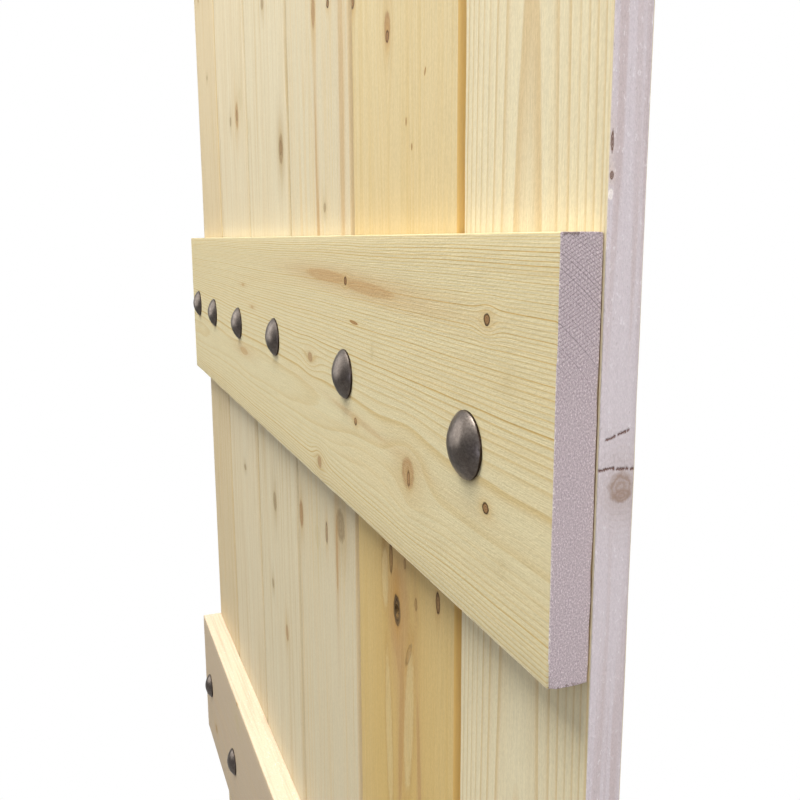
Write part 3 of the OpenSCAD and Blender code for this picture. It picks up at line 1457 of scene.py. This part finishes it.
    def edge_material(self) -> bpy.types.Material:
        """Sawn long edge: greyer, with soft streaks, torn flecks, its own marks and short
        cracks; a lilac edge colour is partly the sawn wood's tone and partly painted cool light."""
        material, s, shader = new_material(self.name + "_edge")
        wood = self.wood(s)
        across, depth, along = self.places(s)
        place = (depth, across, along)
        long_streak = s.stretched(place, (0.33, 0.33, 0.006), 2.0)
        fuzz = s.stretched(place, (1.6, 1.6, 0.8), 3.0, 0.65)
        colour = s.blend(s.mul(wood["Late"], 0.16), self.edge, tuple(0.72 * c for c in self.edge))
        browned = tuple(a * b for a, b in zip(self.edge, (0.80, 0.70, 0.64)))
        colour = s.blend(s.span(long_streak, 0.45, 0.70, 0.0, 0.55), colour, browned)
        tears = s.stretched(place, (0.55, 0.5, 0.22), 3.0, 0.75)
        colour = s.blend(s.span(tears, 0.58, 0.66, 0.0, 0.50), colour, (0.80, 0.77, 0.76))
        colour = s.blend(s.span(tears, 0.38, 0.30, 0.0, 0.40), colour, (0.30, 0.24, 0.21))
        ruffle = s.stretched(place, (0.45, 0.3, 0.45), 2.0, 0.6)
        for knot in self.edge_knots:
            out = knot.lay(s, along, depth, ruffle)
            look = MARK_LOOKS[knot.mark]
            colour = s.blend(s.mul(out["Halo"], 0.5 * look.halo_share * knot.strength), colour, look.halo)
            arcs = s.mul(out["Swell"], s.span(out["Rings"], 0.55, 1.0))
            ringed = s.mul(arcs, 0.18 * look.halo_share * knot.strength)
            colour = s.blend(ringed, colour, (0.40, 0.30, 0.24))
            tone = s.mul(out["Body"], s.span(out["Rings"], 0.0, 1.0, 0.95, 0.50))
            colour = s.blend(s.mul(tone, knot.strength), colour, look.body)
        dent = s.add(fuzz, s.mul(tears, 1.6))
        for low_depth, high_depth, start, end in self.edge_cracks:
            slope = (end - start) / (high_depth - low_depth)
            line = s.math("MULTIPLY_ADD", s.sub(depth, low_depth), -slope, s.sub(along, start))
            line = s.add(line, s.span(fuzz, 0.2, 0.8, -0.5, 0.5))
            off = s.mul(line, 1.9)
            begun = s.span(depth, low_depth - 0.4, low_depth + 0.4)
            within = s.mul(begun, s.span(depth, high_depth + 0.4, high_depth - 0.4))
            dash = s.span(s.noise_line(depth, 0.6), 0.28, 0.42)
            crack = s.mul(s.mul(s.bell(s.mul(off, off)), within), dash)
            colour = s.blend(s.mul(crack, 0.95), colour, (0.13, 0.05, 0.028))
            dent = s.sub(dent, s.mul(crack, 1.5))
        colour = s.shade(colour, s.span(fuzz, 0.25, 0.75, 0.90, 1.06))
        s.feed(shader.inputs["Base Color"], colour)
        s.feed(shader.inputs["Normal"], s.bump(dent, 0.6, 0.0006))
        s.feed(shader.inputs["Roughness"], s.span(fuzz, 0.3, 0.7, 0.62, 0.78))
        shader.inputs["Specular IOR Level"].default_value = 0.25
        return material

    def end_material(self) -> bpy.types.Material:
        """Sawn end grain: ring lines, crossing saw marks and pale torn fibres, on a mauve-grey that is partly
        the sawn wood's tone and partly painted cool light.
        """
        material, s, shader = new_material(self.name + "_end")
        wood = self.wood(s)
        section = across, depth = self.places(s)[:2]
        stipple = s.stretched(section, (1.1, 1.5), 3.0, 0.8)
        broad = s.stretched(section, (0.035, 0.035), 1.0)
        saw = s.math("MULTIPLY_ADD", depth, -0.55, across)
        saw_wave = s.math("SINE", s.add(s.mul(saw, 3.7), s.mul(s.add(broad, s.mul(stipple, 0.15)), 9.0)))
        sawn = s.span(across, self.pith_across + 55.0, self.pith_across + 105.0, 0.12, 1.0)
        saw_line = s.mul(s.span(saw_wave, 0.1, 1.0), sawn)
        rings = s.mul(wood["Late"], s.span(sawn, 0.0, 1.0, 0.28, 0.80))
        colour = s.blend(rings, self.end, tuple(0.45 * c for c in self.end))
        colour = s.blend(s.mul(saw_line, 0.50), colour, tuple(0.48 * c for c in self.end))
        torn = s.mul(s.span(stipple, 0.52, 0.66), s.span(sawn, 0.0, 1.0, 1.0, 0.45))
        colour = s.blend(s.mul(torn, 0.58), colour, (0.76, 0.70, 0.70))
        if self.end_high[0] > self.end_low[0]:
            rim = s.math("MINIMUM", s.sub(across, self.end_low[0]), s.sub(self.end_high[0], across))
            side = s.math("MINIMUM", s.sub(depth, self.end_low[1]), s.sub(self.end_high[1], depth))
            ragged = s.stretched(section, (0.5, 0.5), 3.0, 0.7)
            reach = s.span(ragged, 0.47, 0.75, 0.0, 3.6)
            chip = s.span(s.sub(rim, reach), 0.25, -0.25)
            colour = s.blend(s.mul(chip, 0.65), colour, (0.13, 0.085, 0.06))
            frayed = s.span(s.sub(side, s.mul(reach, 0.45)), 0.3, -0.3)
            colour = s.blend(s.mul(frayed, 0.5), colour, (0.80, 0.74, 0.66))
        colour = s.shade(colour, s.span(stipple, 0.25, 0.75, 0.68, 1.28))
        s.feed(shader.inputs["Base Color"], colour)
        height = s.sub(s.add(stipple, s.mul(torn, 0.4)), s.mul(s.add(rings, saw_line), 0.35))
        s.feed(shader.inputs["Normal"], s.bump(height, 0.6, 0.0004))
        s.feed(shader.inputs["Roughness"], s.span(stipple, 0.3, 0.7, 0.72, 0.88))
        shader.inputs["Specular IOR Level"].default_value = 0.2
        return material

    def materials(self) -> list[bpy.types.Material]:
        """The four materials in the order of Surface."""
        return [self.face_material(), self.bevel_material(), self.edge_material(), self.end_material()]


# ---------------------------------------------------------------------------------------
# Metal
# ---------------------------------------------------------------------------------------


@dataclass(frozen=True)
class NailFinish:
    """Antiqued steel: a brown-grey patina rubbed back to pewter in small mottles."""

    dark: Colour = (0.11, 0.088, 0.074)
    rubbed: Colour = (0.33, 0.285, 0.25)
    # The rim colour is near-black: dark patina, with the shade on the rim's side wall painted in as well.
    rim: Colour = (0.035, 0.026, 0.022)

    def material(self, rim: bool) -> bpy.types.Material:
        """The shared metal, made once.

        Args:
            rim: whether it is for the near-black rim and shank, dark patina with painted shade on the rim's
                wall.

        Returns:
            The material.
        """
        name = "patina_and_shade_rim" if rim else "antiqued_steel"
        found = bpy.data.materials.get(name)
        if found:
            return found
        material, s, shader = new_material(name)
        at = s.node("ShaderNodeTexCoord").outputs["Object"]
        cloud = s.noise(at, 260.0, 3.0, 0.6)
        grain = s.noise(at, 1100.0, 2.0, 0.6)
        share = s.add(s.span(cloud, 0.3, 0.72, 0.25, 0.55), s.span(grain, 0.3, 0.7, -0.12, 0.12))
        dull, bright = (self.rim, tuple(2.2 * c for c in self.rim)) if rim else (self.dark, self.rubbed)
        s.feed(shader.inputs["Base Color"], s.blend(share, dull, bright))
        matt = s.add(s.span(cloud, 0.3, 0.7, 0.40, 0.32), s.span(grain, 0.3, 0.7, -0.03, 0.05))
        s.feed(shader.inputs["Roughness"], matt)
        s.feed(shader.inputs["Normal"], s.bump(s.add(cloud, s.mul(grain, 0.35)), 0.3, 0.0002))
        shader.inputs["Metallic"].default_value = 1.0
        return material


@dataclass(frozen=True)
class ScrewFinish:
    """Bright zinc plating, a little yellowed and dull in soft patches."""

    bright: Colour = (0.62, 0.60, 0.55)
    dull: Colour = (0.42, 0.38, 0.29)

    def material(self) -> bpy.types.Material:
        """The plating."""
        material, s, shader = new_material("zinc_plating")
        at = s.node("ShaderNodeTexCoord").outputs["Object"]
        cloud = s.noise(at, 420.0, 3.0, 0.6)
        s.feed(shader.inputs["Base Color"], s.blend(s.span(cloud, 0.35, 0.7), self.bright, self.dull))
        s.feed(shader.inputs["Roughness"], s.span(cloud, 0.3, 0.7, 0.30, 0.45))
        s.feed(shader.inputs["Normal"], s.bump(cloud, 0.15, 0.0001))
        shader.inputs["Metallic"].default_value = 1.0
        return material


@dataclass
class Screws:
    """The wood screws of one rail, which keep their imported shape."""

    node: str

    def build(self, finish: ScrewFinish) -> None:
        """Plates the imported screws.

        Args:
            finish: their plating.
        """
        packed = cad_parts[self.node]
        material = bpy.data.materials.get("zinc_plating") or finish.material()
        if not packed.material_slots:
            packed.data.materials.append(material)
        for holder in packed.material_slots:
            holder.link = "OBJECT"
            holder.material = material
        log.info("%s: plated", self.node)


# ---------------------------------------------------------------------------------------
# The door's own woods
# ---------------------------------------------------------------------------------------

K = Knot

SOFT_BOARD = dict(
    lie=Lie.UPRIGHT, line=0.22, golden=(0.50, 0.37, 0.18), golden_share=0.50, bevel_shade_share=0.15,
)

BOARD_WOODS: dict[str, PineFinish] = {
    "board_1": PineFinish(
        "board_1", pith_across=-450, pith_depth=90, ring=3.2, taper=0.004, phase=0.2,
        early=(0.581, 0.486, 0.313),
        knots=(
            K(1651, -423, 3, 5, Mark.SOFT), K(1215, -430, 9, 7, Mark.SMUDGE),
            K(560, -400, 9, 8, Mark.LIVE), K(1760, -470, 6, 5, Mark.LIVE),
        ),
        **SOFT_BOARD,
    ),
    "board_2": PineFinish(
        "board_2", pith_across=-250, pith_depth=-85, ring=3.0, taper=-0.005, phase=0.5,
        early=(0.614, 0.542, 0.378),
        knots=(
            K(1579, -225, 14, 9, Mark.LIVE), K(1579, -225, 6, 4, Mark.DEAD, 0, 0.6),
            K(1577, -265, 6, 5, Mark.SOFT), K(1593, -203, 12, 12, Mark.SMUDGE),
            K(1168, -254, 4, 7, Mark.SOFT), K(1960, -300, 8, 6, Mark.LIVE),
            K(420, -240, 9, 7, Mark.DEAD),
        ),
        **SOFT_BOARD,
    ),
    "board_3": PineFinish(
        "board_3", pith_across=-95, pith_depth=80, ring=2.9, taper=0.006, phase=0.1,
        early=(0.611, 0.546, 0.383),
        knots=(
            K(1524, -17, 14, 9, Mark.SOFT, 0, 1.25), K(1525, -17, 6, 4, Mark.DEAD, 0, 0.5),
            K(1662, -77, 6, 6, Mark.SOFT), K(1171, -90, 11, 8, Mark.SOFT),
            K(1071, -112, 6, 5, Mark.SOFT), K(1040, -50, 9, 6, Mark.LIVE),
            K(1560, -163, 9, 8, Mark.SMUDGE), K(300, -60, 9, 8, Mark.LIVE),
        ),
        **SOFT_BOARD,
    ),
    "board_4": PineFinish(
        "board_4", pith_across=70, pith_depth=-70, ring=3.1, taper=-0.007, phase=0.3,
        early=(0.595, 0.528, 0.365),
        lie=Lie.UPRIGHT, line=0.20, golden_share=0.4, bevel=(0.60, 0.42, 0.20), bevel_shade_share=0.40,
        knots=(
            K(1614, 102, 12, 5, Mark.LIVE, 0, 1.15), K(1500, 102, 60, 2.4, Mark.STREAK, 0, 0.9),
            K(1440, 106, 40, 2.6, Mark.STREAK), K(1467, 124, 4, 3.5, Mark.SOFT),
            K(1611, 142, 3, 3, Mark.PIN), K(1540, 172, 120, 6, Mark.STREAK, 0, 0.6),
            K(1219, 151, 14, 12, Mark.SOFT), K(1190, 140, 34, 3, Mark.STREAK, 0, 1.2),
            K(1200, 110, 9, 3.0, Mark.DEAD, 0, 0.7), K(1191, 24, 13, 7, Mark.LIVE, 0, 1.15),
            K(1187, 80, 12, 9, Mark.SMUDGE), K(780, 60, 9, 8, Mark.LIVE),
            K(330, 120, 10, 8, Mark.LIVE),
        ),
    ),
    "board_5": PineFinish(
        "board_5", Lie.UPRIGHT, 285, -66, ring=3.4, taper=-0.006, phase=0.6, sway=2.6,
        early=(0.651, 0.565, 0.356), golden=(0.54, 0.37, 0.13), golden_share=0.35, line=0.3,
        bevel=(0.600, 0.385, 0.119), bevel_shade_share=0.9,
        knots=(
            K(1050, 285, 190, 120, Mark.HEART), K(1568, 268, 9, 5.2, Mark.LIVE, 0, 1.2),
            K(1563, 268, 3.4, 2.6, Mark.DEAD), K(1598, 201, 4, 3.4, Mark.DEAD),
            K(1533, 328, 2.2, 1.0, Mark.POCKET, 0.3), K(1495, 308, 2.2, 1, Mark.POCKET),
            K(1510, 299, 2.5, 1, Mark.POCKET), K(1200, 282, 34, 22, Mark.STREAK, 0, 1.2),
            K(1200, 279, 10, 6, Mark.HOLE), K(1233, 268, 10, 3.2, Mark.DEAD),
            K(1178, 300, 9, 3.0, Mark.DEAD, 0.5), K(1160, 284, 14, 5, Mark.STREAK, -0.4, 1.2),
            K(1218, 313, 4, 2, Mark.DEAD), K(1233, 348, 6, 3.0, Mark.DEAD),
            K(1238, 294, 3.4, 1.8, Mark.DEAD), K(1120, 286, 70, 4.5, Mark.STREAK, 0.06, 1.5),
            K(1238, 255, 30, 4, Mark.STREAK, -0.2, 1.4), K(1100, 318, 60, 3, Mark.STREAK, -0.05, 1.3),
            K(1130, 300, 60, 9, Mark.PALE, 0.08), K(1100, 262, 70, 7, Mark.PALE, -0.05),
            K(1215, 256, 26, 7, Mark.PALE), K(520, 260, 11, 9, Mark.DEAD),
            K(1930, 300, 10, 8, Mark.LIVE),
        ),
    ),
    "board_6": PineFinish(
        "board_6", Lie.UPRIGHT, 446, 71.5, ring=3.0, taper=0.008, phase=0.13, sway=0.22, uneven=0.0,
        early=(0.659, 0.586, 0.393), late=(0.50, 0.33, 0.13), line=0.75, face_distance=80.0,
        golden_share=0.10,
        knots=(
            K(1010, 440, 10, 8, Mark.LIVE), K(210, 420, 9, 8, Mark.DEAD),
            # The line at across 505.9, along the upper rail's right end, is painted shadow in the crevice
            # between rail and board.
            K(1990, 460, 8, 6, Mark.LIVE), K(1354, 505.9, 92, 0.35, Mark.GRIME_AND_SHADOW),
        ),
        edge_knots=(
            K(1345, 2.2, 6.8, 6.0, Mark.BUTT), K(1341.5, 2.8, 3.2, 4.6, Mark.BUTT, 0, 0.9),
            K(1478, -7.6, 4.5, 0.7, Mark.GRIME_AND_SHADOW), K(1466, -7.4, 1.8, 0.9, Mark.GRIME_AND_SHADOW),
            K(1459, -7.6, 2.2, 1.0, Mark.CHIP),
        ),
        edge_cracks=(
            (-8.4, -1.0, 1352.6, 1353.6), (-2.0, 8.2, 1352.8, 1352.2),
            (-5.8, 5.2, 1364.8, 1368.4),
        ),
    ),
}

RAIL_WOODS: dict[str, PineFinish] = {
    "bottom_rail": PineFinish(
        "bottom_rail", Lie.LEVEL, 190, -110, ring=3.0, taper=0.003, phase=0.4, early=(0.68, 0.57, 0.34),
        edge=(0.76, 0.66, 0.48), line=0.4,
        knots=(K(-260, 230, 10, 7, Mark.LIVE), K(120, 170, 8, 6, Mark.LIVE), K(380, 250, 5, 4, Mark.DEAD)),
    ),
    "lower_rail": PineFinish(
        "lower_rail", Lie.LEVEL, 770, -120, ring=2.8, taper=-0.003, phase=0.1,
        early=(0.500, 0.408, 0.288),
        late=(0.50, 0.36, 0.24), edge=(0.741, 0.598, 0.440), line=0.35,
        knots=(
            K(-226, 872, 4, 3, Mark.LIVE), K(-230, 845, 14, 11, Mark.SMUDGE),
            K(60, 800, 11, 9, Mark.LIVE), K(330, 740, 6, 5, Mark.PIN), K(-420, 730, 8, 6, Mark.LIVE),
        ),
    ),
    "upper_rail": PineFinish(
        "upper_rail", Lie.LEVEL, 1313, -97, ring=1.95, taper=0.0035, phase=0.25,
        sway=0.7, crowd=0.006, lean=0.12,
        early=(0.612, 0.540, 0.333), late=(0.46, 0.29, 0.07), line=0.95, uneven=1.2, blank=42.0,
        edge=(0.74, 0.65, 0.45),
        end_low=(1261.5, -27.5), end_high=(1445.5, -8.5),
        knots=(
            K(190, 1418, 56, 4.4, Mark.STREAK, -0.02, 1.1),
            K(280, 1413, 52, 4.2, Mark.STREAK, -0.04, 1.0), K(236, 1416, 2.6, 2.6, Mark.PIN),
            K(253, 1390, 9, 1.1, Mark.POCKET, -0.05), K(446, 1408, 2.8, 2.6, Mark.PIN),
            K(349, 1314, 9.5, 9.0, Mark.LIVE), K(350, 1311, 2.2, 4.4, Mark.DEAD, 0, 0.8),
            K(447, 1322, 3, 2.6, Mark.PIN), K(254, 1325, 2.7, 2.4, Mark.PIN),
            K(257, 1327, 60, 2.4, Mark.STREAK, -0.06, 0.5), K(141, 1354, 7, 3.8, Mark.LIVE),
            K(162, 1276, 5.5, 4.6, Mark.LIVE), K(-132, 1327, 22, 4, Mark.STREAK),
            K(-124, 1397, 8, 1.6, Mark.STREAK), K(-80, 1377, 7, 1.6, Mark.STREAK),
            K(466, 1384, 4, 5, Mark.SMUDGE), K(464, 1300, 4, 4, Mark.SMUDGE),
            K(289, 1376, 1.6, 5, Mark.SMUDGE, 0, 1.5), K(277, 1300, 22, 8, Mark.EYE),
        ),
    ),
    "top_rail": PineFinish(
        "top_rail", Lie.LEVEL, 1940, -100, ring=3.1, taper=0.004, phase=0.7, early=(0.70, 0.59, 0.35),
        edge=(0.76, 0.66, 0.48), line=0.45,
        knots=(K(-180, 1900, 9, 7, Mark.LIVE), K(280, 1960, 6, 5, Mark.PIN), K(40, 1980, 8, 4, Mark.LIVE)),
    ),
}


# ---------------------------------------------------------------------------------------
# Studio
# ---------------------------------------------------------------------------------------


@dataclass
class Studio:
    """Pale floor, soft light and the camera, set out from the door's own box."""

    low: Vector
    high: Vector
    eye: Vector
    azimuth: float = 69.36
    pitch: float = -10.40
    roll: float = -0.29
    lens: float = 39.56
    floor_size: float = 14.0

    def floor(self) -> None:
        """A pale floor, a grid of points at the door's bottom edge.

        It is plain paint near the door, where its contact shade shows, and fades to
        bright white away from it; in reflections it is a mid grey.
        """
        count = 9
        line = np.linspace(-self.floor_size / 2, self.floor_size / 2, count)
        x, y = np.meshgrid(line, line)
        points = np.stack([x.ravel(), y.ravel(), np.full(x.size, self.low.z)], -1)
        corner = (np.arange(count - 1)[:, None] * count + np.arange(count - 1)[None, :]).ravel()
        quads = np.stack([corner, corner + 1, corner + count + 1, corner + count], -1)
        piece = make_mesh("floor", points, quads.ravel(), np.arange(len(quads)) * 4, np.zeros(len(quads)))
        material, s, shader = new_material("pale_floor")
        place = s.node("ShaderNodeTexCoord").outputs["Object"]
        apart = s.node("ShaderNodeSeparateXYZ")
        s.feed(apart.inputs[0], place)
        speckle = s.noise(place, 9.0, 3.0, 0.6)
        x_part = s.mul(apart.outputs[0], 0.75)
        distance = s.math("SQRT", s.add(s.mul(x_part, x_part), s.mul(apart.outputs[1], apart.outputs[1])))
        seen = s.node("ShaderNodeLightPath").outputs["Is Camera Ray"]
        away = s.mul(seen, s.span(distance, 0.35, 1.0))
        paint = s.blend(seen, (0.24, 0.237, 0.234), (0.86, 0.86, 0.86))
        s.feed(shader.inputs["Base Color"], s.shade(paint, s.span(speckle, 0.2, 0.8, 0.985, 1.01)))
        shader.inputs["Roughness"].default_value = 0.9
        glow = s.node("ShaderNodeEmission")
        glow.inputs[0].default_value = (1, 1, 1, 1)
        glow.inputs[1].default_value = 1.0
        mixed = s.node("ShaderNodeMixShader")
        s.feed(mixed.inputs[0], away)
        s.tree.links.new(shader.outputs[0], mixed.inputs[1])
        s.tree.links.new(glow.outputs[0], mixed.inputs[2])
        s.tree.links.new(mixed.outputs[0], s.tree.nodes["Material Output"].inputs[0])
        piece.data.materials.append(material)
        piece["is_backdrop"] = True

    def surroundings(self) -> None:
        """A white room: plain white to the camera, and to the door a soft light that is
        brighter overhead than at the horizon."""
        world = bpy.data.worlds.new("white_room")
        world.use_nodes = True
        bpy.context.scene.world = world
        tree = world.node_tree
        tree.nodes.clear()
        s = Sketch(tree)
        way = s.node("ShaderNodeTexCoord").outputs["Generated"]
        apart = s.node("ShaderNodeSeparateXYZ")
        s.feed(apart.inputs[0], way)
        light = s.node("ShaderNodeBackground")
        risen = s.span(apart.outputs[2], -0.05, 0.45)
        s.feed(light.inputs[0], s.blend(risen, (0.20, 0.20, 0.21), (0.80, 0.81, 0.83)))
        light.inputs[1].default_value = 0.62
        white = s.node("ShaderNodeBackground")
        white.inputs[0].default_value = (1, 1, 1, 1)
        white.inputs[1].default_value = 1.0
        mixed = s.node("ShaderNodeMixShader")
        s.feed(mixed.inputs[0], s.node("ShaderNodeLightPath").outputs["Is Camera Ray"])
        tree.links.new(light.outputs[0], mixed.inputs[1])
        tree.links.new(white.outputs[0], mixed.inputs[2])
        out = s.node("ShaderNodeOutputWorld")
        tree.links.new(mixed.outputs[0], out.inputs[0])

    @staticmethod
    def lamp(name: str, place: Vector, aim: Vector, size: float, power: float, colour: Colour) -> None:
        """Adds a square soft lamp.

        Args:
            name: its name.
            place: where it hangs.
            aim: what it points at.
            size: side of the square.
            power: in watts.
            colour: of its light.
        """
        data = bpy.data.lights.new(name, "AREA")
        data.size = size
        data.energy = power
        data.color = colour
        lamp = bpy.data.objects.new(name, data)
        lamp.location = place
        lamp.rotation_euler = (aim - place).to_track_quat("-Z", "Y").to_euler()
        bpy.context.scene.collection.objects.link(lamp)

    def lights(self) -> None:
        """A steep overhead softbox, a large soft wall of light to the front left, one in
        line with the door's right edge, a weak one in front and one behind."""
        lamps = (
            ("overhead", (0.1, -1.1, self.high.z + 1.7), (0.1, 0.0, 1.3), 1.5, 119.0, (1.0, 0.985, 0.955)),
            ("left_wall", (-1.7, -1.9, 1.8), (0.2, 0.0, 1.40), 1.8, 21.0, (1.0, 0.99, 0.97)),
            ("right_wall", (2.5, 0.12, 2.35), (0.5, 0.0, 1.45), 1.5, 44.0, (0.97, 0.95, 1.0)),
            ("front_right", (1.9, -2.6, 0.9), (0.4, 0.0, 1.35), 0.9, 5.0, (0.78, 0.80, 1.0)),
            ("behind", (-0.6, 2.4, 2.1), (self.low + self.high) / 2, 1.6, 30.0, (1.0, 1.0, 1.0)),
        )
        for name, place, aim, size, power, colour in lamps:
            self.lamp(name, Vector(place), Vector(aim), size, power, colour)

    def camera(self) -> None:
        """The camera, close to the upper rail's right end and looking along its face."""
        data = bpy.data.cameras.new("viewpoint")
        data.lens = self.lens
        data.sensor_width = 36.0
        data.clip_start, data.clip_end = 0.02, 50.0
        camera = bpy.data.objects.new("viewpoint", data)
        turn = (
            Matrix.Rotation(math.radians(self.azimuth), 4, "Z")
            @ Matrix.Rotation(math.radians(90.0 + self.pitch), 4, "X")
            @ Matrix.Rotation(math.radians(self.roll), 4, "Z")
        )
        camera.matrix_world = Matrix.Translation(self.eye) @ turn
        bpy.context.scene.collection.objects.link(camera)
        bpy.context.scene.camera = camera

    def build(self) -> None:
        """Sets out the whole studio."""
        self.floor()
        self.surroundings()
        self.lights()
        self.camera()
        bpy.context.scene.view_settings.view_transform = "Standard"
        log.info("studio set out")


# ---------------------------------------------------------------------------------------
# The door
# ---------------------------------------------------------------------------------------


@dataclass
class BarnDoor:
    """The whole slab: boards, rails, nails and screws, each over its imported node."""

    knot_hole: Pit = Pit(
        0.279, 1.200, (0.0, 1.8 * MM, 3.0 * MM, 4.4 * MM), (5.0 * MM, 4.6 * MM, 2.4 * MM, 0.0),
    )
    boards: tuple[str, ...] = tuple(BOARD_WOODS)
    rails: tuple[str, ...] = tuple(RAIL_WOODS)

    def build(self) -> None:
        """Builds every piece in order."""
        rows = []
        for rail in self.rails:
            low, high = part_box(rail)
            rows.append((low.z + high.z) / 2)
        for number, name in enumerate(self.boards):
            low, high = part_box(name)
            Board(
                name, low, high, Lie.UPRIGHT, Wear(seed=11 + number), "board_pine",
                joined_left=number > 0, joined_right=number < len(self.boards) - 1, screw_rows=tuple(rows),
                holes=(self.knot_hole,) if name == "board_5" else (),
            ).build(BOARD_WOODS[name])
        for number, name in enumerate(self.rails):
            low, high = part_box(name)
            wear = Wear(seed=41 + number, wander=0.0005, end_ease=0.0006, torn=0.0020)
            Rail(name, low, high, Lie.LEVEL, wear, "rail_pine").build(RAIL_WOODS[name])
        nails = 0
        for rail in self.rails:
            for number in range(len(self.boards)):
                node = f"{rail}_nail_{number + 1}"
                low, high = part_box(node)
                DomeNail(node, low, high, seed=nails).build(NailFinish())
                nails += 1
            Screws(f"{rail}_screws").build(ScrewFinish())
        log.info("%d nails turned", nails)


def corners(bounds: tuple[Vector, Vector]) -> list[list[float]]:
    """A box's two corners as plain lists of numbers."""
    return [[round(float(value), 6) for value in corner] for corner in bounds]


def main() -> None:
    """Builds the door and its studio."""
    logging.basicConfig(level=logging.INFO, format="%(name)s: %(message)s")
    packed_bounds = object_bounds()
    BarnDoor().build()
    rail_low, rail_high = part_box("upper_rail")
    near_corner = Vector((rail_high.x, rail_low.y, rail_high.z))
    eye = near_corner + Vector(EYE_FROM_RAIL)
    Studio(packed_bounds[0], packed_bounds[1], eye).build()
    bpy.context.view_layer.update()


if __name__ == "__main__":
    main()
